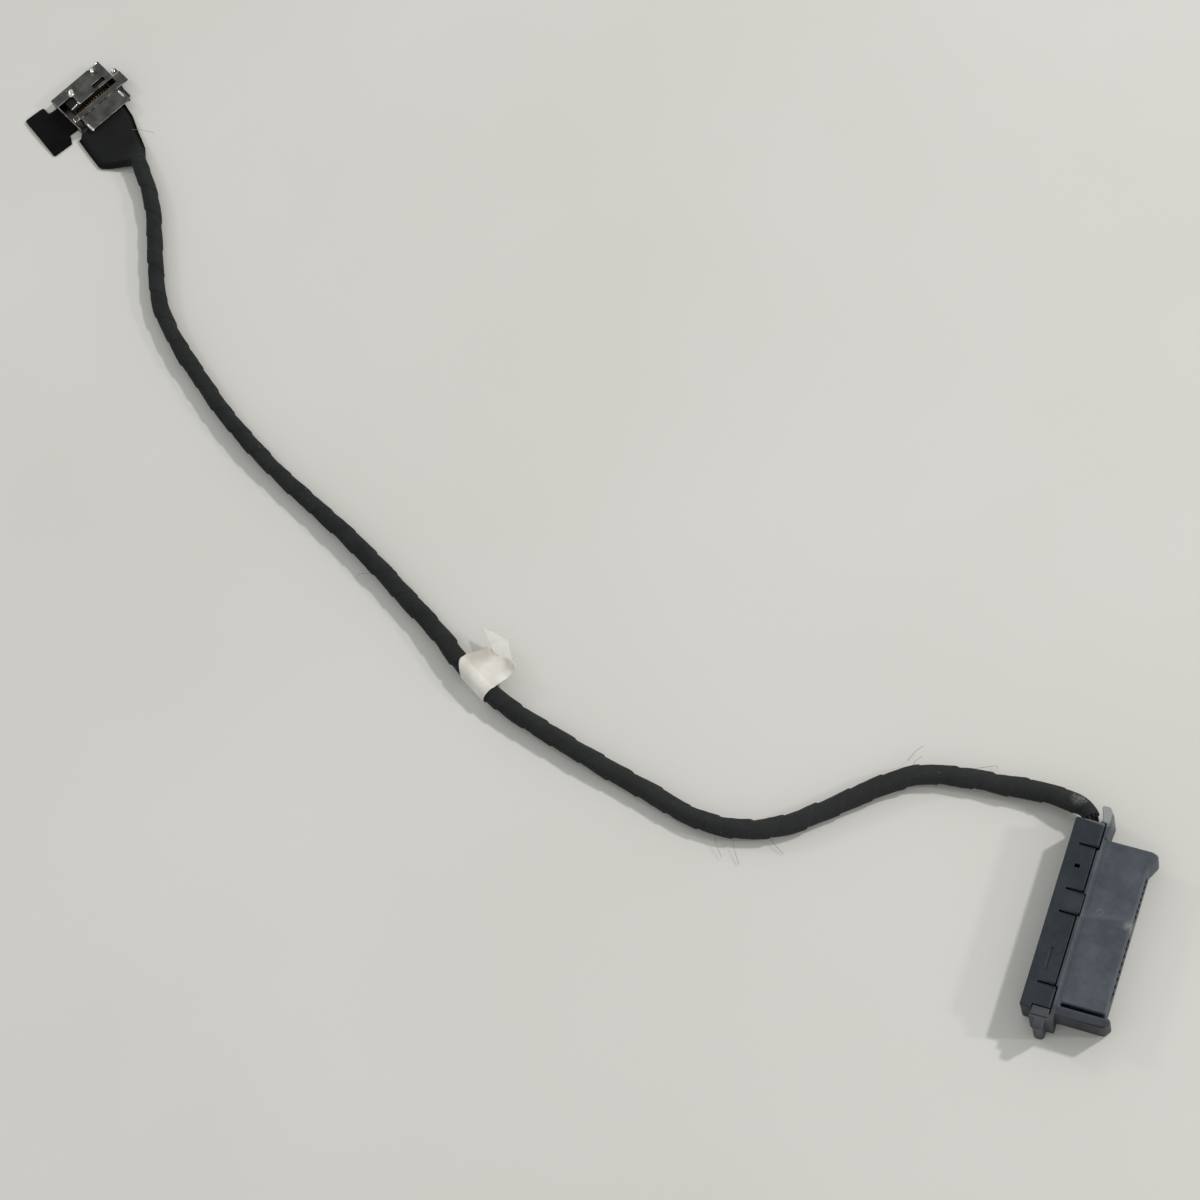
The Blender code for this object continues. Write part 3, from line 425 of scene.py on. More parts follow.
def slate_nylon():
    """The receptacle's slate grey: the faint crease with a painted highlight along it and scuffs on its top,
    the worn notch at its mouth, the dark line on its arm, painted shade in the corner under the flange, and
    the lighter ear and end lug."""
    made, tree, shader, place, links = moulded_plastic(
        "glass_filled_nylon_slate", "#353B43", "#4A525A", "#5B6268", 0.40, 0.52
    )
    tone = links["Base Color"]
    fine = add(tree, "TexNoise", {"Vector": place, "Scale": 1 / (0.5 * MM), "Detail": 3.0})
    # Place, stretch, full and no wear at these distances, noise at which it starts and fills, colour, most
    worn_places = (
        ((0.0010, -0.0060, 0.0052), (1.0, 0.7, 0.6), 0.2 * MM, 1.2 * MM, 0.30, 0.55, "#8A8F90", 0.75),
        ((0.00195, -0.0007, 0.0057), (1.0, 1.0, 1.0), 0.2 * MM, 0.7 * MM, 0.42, 0.56, "#7C8285", 0.60),
        ((0.0178, 0.0024, 0.0060), (1.0, 1.0, 0.4), 1.3 * MM, 2.5 * MM, 0.00, 0.30, "#8F9290", 0.95),
        ((-0.0165, 0.0035, 0.0050), (1.0, 0.6, 0.4), 0.9 * MM, 2.2 * MM, 0.10, 0.40, "#64686A", 0.85),
    )
    for spot, squeeze, inner, outer, bare, full, colour, most in worn_places:
        scaled = add(tree, "VectorMath", {0: place, 1: squeeze}, operation="MULTIPLY")
        target = [p * s for p, s in zip(spot, squeeze)]
        close = near(tree, scaled, target, inner, outer, most)
        patchy = add(tree, "MapRange", {0: fine, 1: bare, 2: full})
        share = add(tree, "Math", {0: close, 1: patchy}, operation="MULTIPLY")
        tone = add(tree, "Mix", {0: share, 6: tone, 7: linear(colour)}, 2, data_type="RGBA")
    x_y_z = add(tree, "SeparateXYZ", {0: place}).node
    onto_arm = {0: x_y_z.outputs[0], 1: ARM_TOP_X, 2: ARM_TOP_X - 0.6 * MM, 3: 0.0, 4: 0.62}
    arm = add(tree, "MapRange", onto_arm)
    leaning = {0: x_y_z.outputs[1], 1: ARM_LEAN, 2: x_y_z.outputs[0]}
    slant = add(tree, "Math", leaning, operation="MULTIPLY_ADD")
    off_line = add(tree, "Math", {0: slant, 1: ARM_LINE_X}, operation="ADD")
    off_line = add(tree, "Math", {0: off_line}, operation="ABSOLUTE")
    dark_line = add(tree, "MapRange", {0: off_line, 1: 0.10 * MM, 2: 0.24 * MM, 3: 0.8, 4: 0.0})
    before_flange = add(tree, "MapRange", {0: x_y_z.outputs[1], 1: ARM_REAR_Y + 0.4 * MM, 2: ARM_REAR_Y})
    dark_line = add(tree, "Math", {0: dark_line, 1: before_flange}, operation="MULTIPLY")
    rim = add(tree, "MapRange", {0: slant, 1: -ARM_RIM_X, 2: -ARM_RIM_X - 0.3 * MM, 3: 0.0, 4: 0.55})
    rim = add(tree, "Math", {0: rim, 1: before_flange}, operation="MULTIPLY")
    # Painted shade: a darker band in the corner under the flange
    corner_start = add(tree, "MapRange", {0: x_y_z.outputs[1], 1: CORNER_SHADE_FRONT, 2: CORNER_SHADE_FRONT + 0.3 * MM})
    ends = {0: x_y_z.outputs[1], 1: CORNER_SHADE_BACK - 0.2 * MM, 2: CORNER_SHADE_BACK, 3: 0.55, 4: 0.0}
    corner_end = add(tree, "MapRange", ends)
    corner_shade = add(tree, "Math", {0: corner_start, 1: corner_end}, operation="MULTIPLY")
    leaning = {0: x_y_z.outputs[1], 1: CREASE_LEAN, 2: x_y_z.outputs[0]}
    lean = add(tree, "Math", leaning, operation="MULTIPLY_ADD")
    wander = add(tree, "TexNoise", {"Vector": place, "Scale": 1 / (2.0 * MM), "Detail": 2.0})
    line = add(tree, "Math", {0: wander, 1: -0.8 * MM, 2: lean}, operation="MULTIPLY_ADD")
    rise = add(tree, "MapRange", {0: line, 1: 0.0, 2: 0.5 * MM})
    fall = add(tree, "MapRange", {0: line, 1: 0.5 * MM, 2: CREASE_WIDTH, 3: 1.0, 4: 0.0})
    ridge = add(tree, "Math", {0: rise, 1: fall}, operation="MULTIPLY")
    # Painted highlight: a paler colour along the crease's ridge
    crease_highlight = add(tree, "Math", {0: ridge, 1: 0.45}, operation="MULTIPLY")
    marks = ((arm, "#1E2328"), (dark_line, "#0F1215"), (rim, "#5F6569"))
    marks += ((corner_shade, "#2C3136"), (crease_highlight, "#565D64"))
    for share, colour in marks:
        tone = add(tree, "Mix", {0: share, 6: tone, 7: linear(colour)}, 2, data_type="RGBA")
    creased = add(tree, "Bump", {"Height": ridge, "Distance": 0.05 * MM, "Normal": links["Normal"]})
    return dress(made, shader, links | {"Base Color": tone, "Normal": creased})


def dark_slate_nylon():
    """The rear cover's darker blue-black, a little smoother than the receptacle, with painted shade in its
    slits, a handled, paler latch tongue and a light bar at its end."""
    made, tree, shader, place, links = moulded_plastic(
        "nylon_dark_slate", "#1D242A", "#2A3137", "#42484E", 0.28, 0.48
    )
    tone = links["Base Color"]
    x_y_z = add(tree, "SeparateXYZ", {0: place}).node
    opened = add(tree, "MapRange", {0: x_y_z.outputs[1], 1: SLIT_REAR, 2: COVER_FRONT})
    ragged = add(tree, "TexNoise", {"Vector": place, "Scale": 1 / (0.5 * MM), "Detail": 2.0})
    reach = add(tree, "MapRange", {0: opened, 1: 0.0, 2: 1.0, 3: 0.16 * MM, 4: 0.42 * MM})
    reach = add(tree, "Math", {0: ragged, 1: 0.16 * MM, 2: reach}, operation="MULTIPLY_ADD")
    inside = add(tree, "Math", {0: opened, 1: 0.0}, operation="GREATER_THAN")
    # Painted shade inside each slit, widening towards the front
    for slit_x in COVER_SLITS:
        away = add(tree, "Math", {0: x_y_z.outputs[0], 1: slit_x}, operation="SUBTRACT")
        away = add(tree, "Math", {0: away}, operation="ABSOLUTE")
        edge = add(tree, "Math", {0: away, 1: reach}, operation="SUBTRACT")
        slit_shade = add(tree, "MapRange", {0: edge, 1: -0.06 * MM, 2: 0.04 * MM, 3: 0.85, 4: 0.0})
        share = add(tree, "Math", {0: slit_shade, 1: inside}, operation="MULTIPLY")
        tone = add(tree, "Mix", {0: share, 6: tone, 7: linear("#07090B")}, 2, data_type="RGBA")
    handled = near(tree, place, LATCH_TONGUE, 1.0 * MM, 1.9 * MM, 0.5)
    tone = add(tree, "Mix", {0: handled, 6: tone, 7: linear("#363C40")}, 2, data_type="RGBA")
    leaning = {0: x_y_z.outputs[1], 1: -END_BAR_LEAN, 2: x_y_z.outputs[0]}
    end_bar = add(tree, "Math", leaning, operation="MULTIPLY_ADD")
    from_bar = {0: end_bar, 1: END_BAR_X, 2: END_BAR_X + 0.08 * MM, 3: 0.0, 4: 0.80}
    end_bar = add(tree, "MapRange", from_bar)
    backward = {0: x_y_z.outputs[1], 1: END_BAR_BACK, 2: END_BAR_BACK + 0.3 * MM, 3: 1.0, 4: 0.0}
    behind = add(tree, "MapRange", backward)
    share = add(tree, "Math", {0: end_bar, 1: behind}, operation="MULTIPLY")
    tone = add(tree, "Mix", {0: share, 6: tone, 7: linear("#5D6264")}, 2, data_type="RGBA")
    return dress(made, shader, links | {"Base Color": tone})


def cloth_tape():
    """Woven acetate cloth tape: matt black, threads along and across, fluff, dust specks, faded on the half
    near the receptacle, fresh on the fan and pale along the fan's fold."""
    sheen = {"Sheen_Weight": 0.10, "Sheen_Roughness": 0.5, "Sheen_Tint": linear("#5A5D5F")}
    made, tree, shader, place = new_material(
        "acetate_cloth_tape", 0.86, IOR=1.47, Specular_IOR_Level=0.25, **sheen
    )
    sheet = add(tree, "UVMap", {})
    threads = []
    for direction in ("X", "Y"):
        bands = {"Vector": sheet, "Scale": WAVE_PERIOD / THREAD_SPACING, "Distortion": 0.6, "Detail": 2.0}
        threads.append(add(tree, "TexWave", bands, "Fac", bands_direction=direction))
    weave = add(tree, "Math", {0: threads[0], 1: threads[1]}, operation="MULTIPLY")
    hairs = {"Vector": place, "Scale": 1 / (0.25 * MM), "Detail": 4.0, "Roughness": 0.7}
    nap = add(tree, "TexNoise", hairs)
    patch = add(tree, "TexNoise", {"Vector": place, "Scale": 1 / (4.5 * MM), "Detail": 3.0})
    cloud = add(tree, "MapRange", {0: patch, 1: 0.35, 2: 0.65})
    tone = add(tree, "Mix", {0: cloud, 6: linear("#151717"), 7: linear("#1F2121")}, 2, data_type="RGBA")
    raised = add(tree, "MapRange", {0: weave, 1: 0.0, 2: 1.0, 3: 0.0, 4: 0.5})
    fluff = add(tree, "MapRange", {0: nap, 1: 0.56, 2: 0.74, 3: 0.0, 4: 0.6})
    speck = add(tree, "TexVoronoi", {"Vector": place, "Scale": 1 / (2.6 * MM)}, "Distance")
    dust = add(tree, "MapRange", {0: speck, 1: 0.035, 2: 0.07, 3: 0.4, 4: 0.0})
    far_along = add(tree, "SeparateXYZ", {0: place}, 1)
    faded = add(tree, "MapRange", {0: far_along, 1: 0.130, 2: 0.050, 3: 0.0, 4: 0.32})
    fresh = add(tree, "MapRange", {0: far_along, 1: 0.2105, 2: 0.2135, 3: 0.0, 4: 0.75})
    round_it = add(tree, "SeparateXYZ", {0: sheet}, 1)
    fold = add(tree, "MapRange", {0: round_it, 1: 0.3 * MM, 2: 0.9 * MM, 3: 0.5, 4: 0.0})
    near_board = add(tree, "MapRange", {0: far_along, 1: 0.206, 2: 0.214})
    folded = add(tree, "Math", {0: fold, 1: near_board}, operation="MULTIPLY")
    close = near(tree, place, FRAYED_TAPE, 0.5 * MM, 1.5 * MM, 0.8)
    ends = add(tree, "MapRange", {0: nap, 1: 0.42, 2: 0.60})
    frayed = add(tree, "Math", {0: close, 1: ends}, operation="MULTIPLY")
    layers = ((raised, "#2F3131"), (fluff, "#474949"), (dust, "#7C7C78"), (faded, "#3A3A3B"))
    layers += ((fresh, "#0B0B0D"), (folded, "#4C4F51"), (frayed, "#7F8283"))
    for share, colour in layers:
        tone = add(tree, "Mix", {0: share, 6: tone, 7: linear(colour)}, 2, data_type="RGBA")
    cloth = add(tree, "Bump", {"Height": weave, "Distance": 0.04 * MM})
    fuzzy = add(tree, "Bump", {"Height": nap, "Distance": 0.03 * MM, "Normal": cloth})
    return dress(made, shader, {"Base Color": tone, "Normal": fuzzy})


def polyester_film_black():
    """Black polyester film, calendered to a satin face: a soft wide highlight, hairline scuffs and finger
    marks."""
    made, tree, shader, place = new_material(
        "calendered_polyester_film_black", 0.44, IOR=1.58, Specular_IOR_Level=0.06
    )
    smear = add(tree, "TexNoise", {"Vector": place, "Scale": 1 / (2.2 * MM), "Detail": 3.0})
    hairlines = {"Vector": place, "Scale": 1 / (0.35 * MM), "Detail": 5.0, "Roughness": 0.7}
    scuff = add(tree, "TexNoise", hairlines)
    cloud = add(tree, "MapRange", {0: smear, 1: 0.35, 2: 0.7})
    tone = add(tree, "Mix", {0: cloud, 6: linear("#050505"), 7: linear("#0B0B0B")}, 2, data_type="RGBA")
    gloss = add(tree, "MapRange", {0: smear, 1: 0.3, 2: 0.7, 3: 0.36, 4: 0.54})
    hair = add(tree, "Bump", {"Height": scuff, "Distance": 0.008 * MM})
    return dress(made, shader, {"Base Color": tone, "Roughness": gloss, "Normal": hair})


def label_film():
    """Matt white polyester label, aged to cream, with painted brown shade inside its curled corner and
    painted shade on part of the flag.
    """
    made, tree, shader, place = new_material(
        "matt_polyester_label_cream", 0.46, IOR=1.57, Specular_IOR_Level=0.3
    )
    age = add(tree, "TexNoise", {"Vector": place, "Scale": 1 / (3.0 * MM), "Detail": 4.0})
    aged = add(tree, "MapRange", {0: age, 1: 0.35, 2: 0.7})
    tone = add(tree, "Mix", {0: aged, 6: linear("#E0DED8"), 7: linear("#D0CBC1")}, 2, data_type="RGBA")
    # Painted brown shade inside the curled corner, blotchy with the ageing noise
    close = near(tree, place, CURL_SHADE_SPOT, 0.4 * MM, 2.4 * MM, 0.9)
    blotchy = add(tree, "MapRange", {0: age, 1: 0.40, 2: 0.60, 3: 0.3, 4: 1.0})
    share = add(tree, "Math", {0: close, 1: blotchy}, operation="MULTIPLY")
    tone = add(tree, "Mix", {0: share, 6: tone, 7: linear("#927C65")}, 2, data_type="RGBA")
    # Painted shade on part of the flag
    flag_shade = near(tree, place, FLAG_SHADE_PATCH, 1.2 * MM, 3.2 * MM, 0.7)
    tone = add(tree, "Mix", {0: flag_shade, 6: tone, 7: linear("#ABA599")}, 2, data_type="RGBA")
    fine = add(tree, "TexNoise", {"Vector": place, "Scale": 1 / (0.4 * MM), "Detail": 3.0})
    tooth = add(tree, "Bump", {"Height": fine, "Distance": 0.006 * MM})
    return dress(made, shader, {"Base Color": tone, "Normal": tooth})


def clear_laminate():
    """The label's clear overlaminate: thin polyester, seen mostly by its glossy edge and faint haze."""
    made, tree, shader, place = new_material("polyester_laminate_clear", 0.12, IOR=1.57, Alpha=0.42)
    haze = add(tree, "TexNoise", {"Vector": place, "Scale": 1 / (2.0 * MM), "Detail": 3.0})
    cloud = add(tree, "MapRange", {0: haze, 1: 0.3, 2: 0.7})
    tone = add(tree, "Mix", {0: cloud, 6: linear("#DEDCD6"), 7: linear("#ECEBE6")}, 2, data_type="RGBA")
    gloss = add(tree, "MapRange", {0: haze, 1: 0.3, 2: 0.7, 3: 0.08, 4: 0.22})
    return dress(made, shader, {"Base Color": tone, "Roughness": gloss})


def plated_shell():
    """Cold-rolled steel, stamped and tin plated, now dull: drawn streaks, cloudy dark tin that is partly a
    painted reflection of a dark room, brown stains inside, painted shade round the window, and bright rubbed
    bends that are partly painted highlights."""
    made, tree, shader, place = new_material("tin_plated_steel_dull", 0.36, 1.0)
    turn = (0, 0, math.radians(BOARD_HEADING))
    inputs = {"Vector": place, "Location": BOARD_CENTRE, "Rotation": turn}
    board = add(tree, "Mapping", inputs, vector_type="TEXTURE")
    drawn = add(tree, "VectorMath", {0: board, 1: (0.12, 1.0, 1.0)}, operation="MULTIPLY")
    streak = add(tree, "TexNoise", {"Vector": drawn, "Scale": 1 / (0.12 * MM), "Detail": 3.0})
    cloud = add(tree, "TexNoise", {"Vector": place, "Scale": 1 / (2.2 * MM), "Detail": 3.0})
    # Dark tone, partly the dull tin's own and partly a painted reflection of a dark room
    clouded = add(tree, "MapRange", {0: cloud, 1: 0.35, 2: 0.65})
    tone = add(tree, "Mix", {0: clouded, 6: linear("#4D4C49"), 7: linear("#696865")}, 2, data_type="RGBA")
    close = near(tree, board, SHELL_STAIN, 1.2 * MM, 3.4 * MM, 0.9)
    blotchy = add(tree, "MapRange", {0: cloud, 1: 0.40, 2: 0.55, 3: 0.2, 4: 1.0})
    share = add(tree, "Math", {0: close, 1: blotchy}, operation="MULTIPLY")
    tone = add(tree, "Mix", {0: share, 6: tone, 7: linear("#4E4038")}, 2, data_type="RGBA")
    # Painted shade round the window
    squeeze = (*SHADE_SQUEEZE, 0.0)
    shaded_spot = add(tree, "VectorMath", {0: board, 1: squeeze}, operation="MULTIPLY")
    target = (SHADE_SQUEEZE[0] * SHELL_SHADE[0], SHADE_SQUEEZE[1] * SHELL_SHADE[1], 0.0)
    window_shade = near(tree, shaded_spot, target, 0.55 * MM, 1.0 * MM, 0.85)
    tone = add(tree, "Mix", {0: window_shade, 6: tone, 7: linear("#1B1A19")}, 2, data_type="RGBA")
    # Bright rubbed edges: partly real wear of the tin and partly a painted highlight on the rolled bends
    rounded = add(tree, "Bevel", {"Radius": 0.18 * MM}, samples=6)
    flat = add(tree, "NewGeometry", {}, "Normal")
    turned = add(tree, "VectorMath", {0: rounded, 1: flat}, "Value", operation="DOT_PRODUCT")
    edge = add(tree, "MapRange", {0: turned, 1: 0.990, 2: 0.93, 3: 0.0, 4: 0.85})
    wear = add(tree, "MapRange", {0: cloud, 1: 0.40, 2: 0.54})
    rubbed = add(tree, "Math", {0: edge, 1: wear}, operation="MULTIPLY")
    tone = add(tree, "Mix", {0: rubbed, 6: tone, 7: linear("#D8D7D2")}, 2, data_type="RGBA")
    gloss = add(tree, "MapRange", {0: streak, 1: 0.3, 2: 0.7, 3: 0.26, 4: 0.46})
    lines = add(tree, "Bump", {"Height": streak, "Distance": 0.004 * MM, "Normal": rounded})
    return dress(made, shader, {"Base Color": tone, "Roughness": gloss, "Normal": lines})


def rubbed_tin():
    """Tin plating on the bent lugs, rubbed bright: a clean pale mirror with duller worn flecks, its
    near-white tone partly a painted highlight.
    """
    made, tree, shader, place = new_material("tin_plating_rubbed_bright", 0.24, 1.0)
    worn = add(tree, "TexNoise", {"Vector": place, "Scale": 1 / (0.35 * MM), "Detail": 3.0})
    share = add(tree, "MapRange", {0: worn, 1: 0.40, 2: 0.66})
    tone = add(tree, "Mix", {0: share, 6: linear("#F6F5F0"), 7: linear("#B4B2AC")}, 2, data_type="RGBA")
    gloss = add(tree, "MapRange", {0: worn, 1: 0.3, 2: 0.7, 3: 0.16, 4: 0.36})
    return dress(made, shader, {"Base Color": tone, "Roughness": gloss})


def gold_flash():
    """Gold flash over nickel on phosphor bronze: warm, duller in the pores and soiled at the row's ends."""
    made, tree, shader, place = new_material("gold_flash_on_bronze", 0.26, 1.0)
    pores = add(tree, "TexNoise", {"Vector": place, "Scale": 1 / (0.9 * MM), "Detail": 4.0})
    worn = add(tree, "MapRange", {0: pores, 1: 0.40, 2: 0.52})
    tone = add(tree, "Mix", {0: worn, 6: linear("#C7A45C"), 7: linear("#6E5734")}, 2, data_type="RGBA")
    gap = add(tree, "VectorMath", {0: place, 1: BRIGHT_CONTACTS}, "Value", operation="DISTANCE")
    soiled = add(tree, "MapRange", {0: gap, 1: 1.2 * MM, 2: 2.4 * MM, 3: 0.0, 4: 0.8})
    tone = add(tree, "Mix", {0: soiled, 6: tone, 7: linear("#2E2519")}, 2, data_type="RGBA")
    gloss = add(tree, "MapRange", {0: pores, 1: 0.3, 2: 0.7, 3: 0.20, 4: 0.38})
    return dress(made, shader, {"Base Color": tone, "Roughness": gloss})


def connector_insulator():
    """Black liquid crystal polymer, moulded: brownish black with pale flow marks."""
    made, tree, shader, place = new_material(
        "liquid_crystal_polymer_black", 0.48, IOR=1.6, Specular_IOR_Level=0.15
    )
    flow = add(tree, "TexNoise", {"Vector": place, "Scale": 1 / (0.8 * MM), "Detail": 4.0})
    marks = add(tree, "MapRange", {0: flow, 1: 0.35, 2: 0.7})
    tone = add(tree, "Mix", {0: marks, 6: linear("#0C0B0A"), 7: linear("#191714")}, 2, data_type="RGBA")
    fine = add(tree, "TexNoise", {"Vector": place, "Scale": 1 / (0.2 * MM), "Detail": 2.0})
    grit = add(tree, "Bump", {"Height": fine, "Distance": 0.008 * MM})
    return dress(made, shader, {"Base Color": tone, "Normal": grit})


def wire_insulation():
    """Extruded wire insulation: smooth brown-black with fine draw lines."""
    made, tree, shader, place = new_material(
        "extruded_insulation_black", 0.50, IOR=1.5, Specular_IOR_Level=0.2
    )
    tint = add(tree, "TexNoise", {"Vector": place, "Scale": 1 / (1.1 * MM), "Detail": 3.0})
    share = add(tree, "MapRange", {0: tint, 1: 0.35, 2: 0.65})
    tone = add(tree, "Mix", {0: share, 6: linear("#14110F"), 7: linear("#1E1917")}, 2, data_type="RGBA")
    fine = add(tree, "TexNoise", {"Vector": place, "Scale": 1 / (0.15 * MM), "Detail": 2.0})
    drawn = add(tree, "Bump", {"Height": fine, "Distance": 0.006 * MM})
    return dress(made, shader, {"Base Color": tone, "Normal": drawn})


def tape_fibre():
    """Loose acetate fibres pulled from the tape: grey, lighter where they thin out."""
    made, tree, shader, place = new_material("acetate_fibre_loose", 0.6, IOR=1.47)
    thin = add(tree, "TexNoise", {"Vector": place, "Scale": 1 / (1.5 * MM)})
    tone = add(tree, "Mix", {0: thin, 6: linear("#6C6A66"), 7: linear("#9A9892")}, 2, data_type="RGBA")
    return dress(made, shader, {"Base Color": tone})


def painted_table():
    """A matt lacquered table top: an even warm grey-white with a barely visible cloud."""
    made, tree, shader, place = new_material("lacquered_board_pale", 0.62, IOR=1.48)
    haze = add(tree, "TexNoise", {"Vector": place, "Scale": 1 / (90 * MM), "Detail": 3.0})
    cloud = add(tree, "MapRange", {0: haze, 1: 0.3, 2: 0.7})
    tone = add(tree, "Mix", {0: cloud, 6: linear("#D1D0CA"), 7: linear("#D6D5D0")}, 2, data_type="RGBA")
    fine = add(tree, "TexNoise", {"Vector": place, "Scale": 1 / (0.6 * MM), "Detail": 3.0})
    rolled = add(tree, "Bump", {"Height": fine, "Distance": 0.008 * MM})
    return dress(made, shader, {"Base Color": tone, "Normal": rolled})


def sleeve_radius(reach, angle):
    """The taped cable's radius: laps of tape over an uneven bundle, narrowing where the wires come out."""
    turn = (reach / TAPE_PITCH - angle / (2 * math.pi)) % 1.0
    rise = min(1.0, turn / 0.05)
    lap = TAPE_LAP * rise * (1.0 - turn) ** 0.8
    around = Vector((math.cos(angle), math.sin(angle), 0))
    bundle = noise.noise(Vector((reach / LUMP_LENGTH, around.x * 0.9, around.y * 0.9)))
    pucker = noise.noise(Vector((reach / PUCKER_LENGTH, around.x * 2.2, around.y * 2.2 + 7.0)))
    lobes = math.cos(WIRE_LOBES * angle - reach * 2 * math.pi / LOBE_TURN)
    size = CABLE_DIAMETER / 2 - TAPE_LAP * 0.5 + lap
    size += LUMP_HEIGHT * bundle + PUCKER_HEIGHT * pucker + LOBE_HEIGHT * lobes
    size *= FIRST_WIDTH + (1 - FIRST_WIDTH) * eased(reach / TAPE_TAPER)
    return size * (1 - (1 - THIN_FACTOR) * eased((reach - THIN_FROM) / 0.010))


def cable_sleeve(material, line):
    """The cloth-taped cable, with its laps, lumps and puckers, flat where it rests on the table."""
    reaches = [0.0]
    for a, b in zip(line, line[1:]):
        reaches.append(reaches[-1] + (b - a).length)
    taped = [(p, r - TAPE_START) for p, r in zip(line, reaches) if r >= TAPE_START]
    points = [p for p, r in taped]
    bm = bmesh.new()
    rings = []
    for (point, reach), (side, up) in zip(taped, carried_frames(points)):
        ring = []
        for k in range(RING_POINTS):
            angle = 2 * math.pi * k / RING_POINTS
            size = sleeve_radius(reach, angle)
            spot = point + (side * math.cos(angle) + up * math.sin(angle)) * size
            spot.z = max(spot.z, 0.00002)
            ring.append(bm.verts.new(spot))
        rings.append(ring)
    step = math.pi * CABLE_DIAMETER / RING_POINTS
    skin(bm, rings, lambda row, column: (taped[row][1], step * column), True)
    return made_object("taped_cable", bm, material, "cloth_tape", sharp=60), points


def bare_wires(material, line):
    """The thirteen wires where they leave the cover, before the tape takes them in."""
    reach = 0.0
    points = [line[0] + Vector((-WIRES_INSIDE, 0, 0))]
    for a, b in zip(line, line[1:]):
        reach += (b - a).length
        points.append(b)
        if reach > TAPE_START + WIRES_UNDER_TAPE:
            break
    coarse = points[:1] + points[1::4]
    frames = carried_frames(coarse)
    bm = bmesh.new()
    places = [(0.0, 0.0)]
    for ring_radius, count in ((BARE_WIRE_DIAMETER * 0.98, 4), (BARE_WIRE_DIAMETER * 1.62, 8)):
        for k in range(count):
            angle = 2 * math.pi * (k + 0.3) / count
            places.append((ring_radius * math.cos(angle), ring_radius * math.sin(angle)))
    for across, high in places[:BARE_WIRE_COUNT]:
        wire = []
        for n, (point, (side, up)) in enumerate(zip(coarse, frames)):
            squeeze = 0.86 - 0.14 * n / len(coarse)
            twist = 0.5 * n / len(coarse)
            c, s = math.cos(twist), math.sin(twist)
            spot = side * (across * c - high * s) + up * (across * s + high * c)
            wire.append(point + spot * squeeze)
        tube_into(bm, wire, BARE_WIRE_DIAMETER * 0.50, 10)
    return made_object("bare_wires", bm, material, "wire_jacket")


def taped_fan(material):
    """The taped wires behind the connector: soft puckers over them, between thin flat margins of tape."""
    end, before = Vector(CABLE_ROUTE[-1]), Vector(CABLE_ROUTE[-2])
    inward = BOARD.inverted()
    heading = (inward.to_3x3() @ (before - end)).normalized()
    last = inward @ end - heading * 0.1 * MM
    side_step = Vector((0, 0, 1)).cross(heading) * CABLE_DIAMETER / 2 * THIN_FACTOR
    rows = []
    for left_p, left_gap, right_p, right_gap, share in FAN_STATIONS:
        left = Vector((left_p, FAN_START_Q - left_gap, 0))
        right = Vector((right_p, FAN_START_Q - right_gap, 0))
        rows.append((left, right, share))
    rows.append((Vector((*(last - side_step).xy, 0)), Vector((*(last + side_step).xy, 0)), 1.0))
    dense = []
    for (left, right, share), (next_left, next_right, next_share) in zip(rows, rows[1:]):
        steps = max(3, round((next_right - right).length / (0.25 * MM)))
        for n in range(steps):
            t = n / steps
            blend = share + (next_share - share) * t
            dense.append((left.lerp(next_left, t), right.lerp(next_right, t), blend))
    dense.append(rows[-1])
    bm = bmesh.new()
    rings = []
    for left, right, share in dense:
        middle, half = (left + right) / 2, (right - left) / 2
        flat = FAN_THICKNESS / 2
        half_tall = flat * (1 - share) + CABLE_DIAMETER / 2 * THIN_FACTOR * share
        mid_z = (flat + 0.1 * MM) * (1 - share) + last.z * share
        ring = []
        for i in range(FAN_RING):
            angle = 2 * math.pi * i / FAN_RING
            c, s = math.cos(angle), math.sin(angle)
            power = 0.7 * (1 - share) + share
            wide = math.copysign(abs(c) ** power, c)
            tall = math.copysign(abs(s) ** (0.35 * (1 - share) + share), s)
            margin = (1 - abs(wide)) * half.length / FAN_MARGIN
            crown = 0.22 + 0.78 * eased(margin - 0.6)
            crown = crown * (1 - share) + share
            spot = middle + half * wide
            if s <= 0:
                z = max(0.03 * MM, mid_z - half_tall * abs(tall))
            else:
                low = mid_z - half_tall
                z = low + (mid_z + half_tall * tall - low) * crown
                pucker = noise.noise(Vector((spot.x / (1.4 * MM), spot.y / (2.2 * MM), 3.0)))
                z += (1 - share) * eased(margin - 1.2) * 0.12 * MM * pucker
            ring.append(bm.verts.new(BOARD @ Vector((spot.x, spot.y, z))))
        rings.append(ring)
    skin(bm, rings, lambda row, column: (row * 0.25 * MM, column * 0.3 * MM), True)
    return made_object("taped_fan", bm, material, "cloth_tape", sharp=55)


def label_place(along, out, z):
    """A point of the label's own frame in the part's."""
    forward = Vector((0, 0, 1)).cross(Vector(LABEL_OUT).normalized())
    middle = Vector(LABEL_MIDDLE)
    spot = middle + forward * along + Vector(LABEL_OUT).normalized() * out
    return Vector((spot.x, spot.y, z))


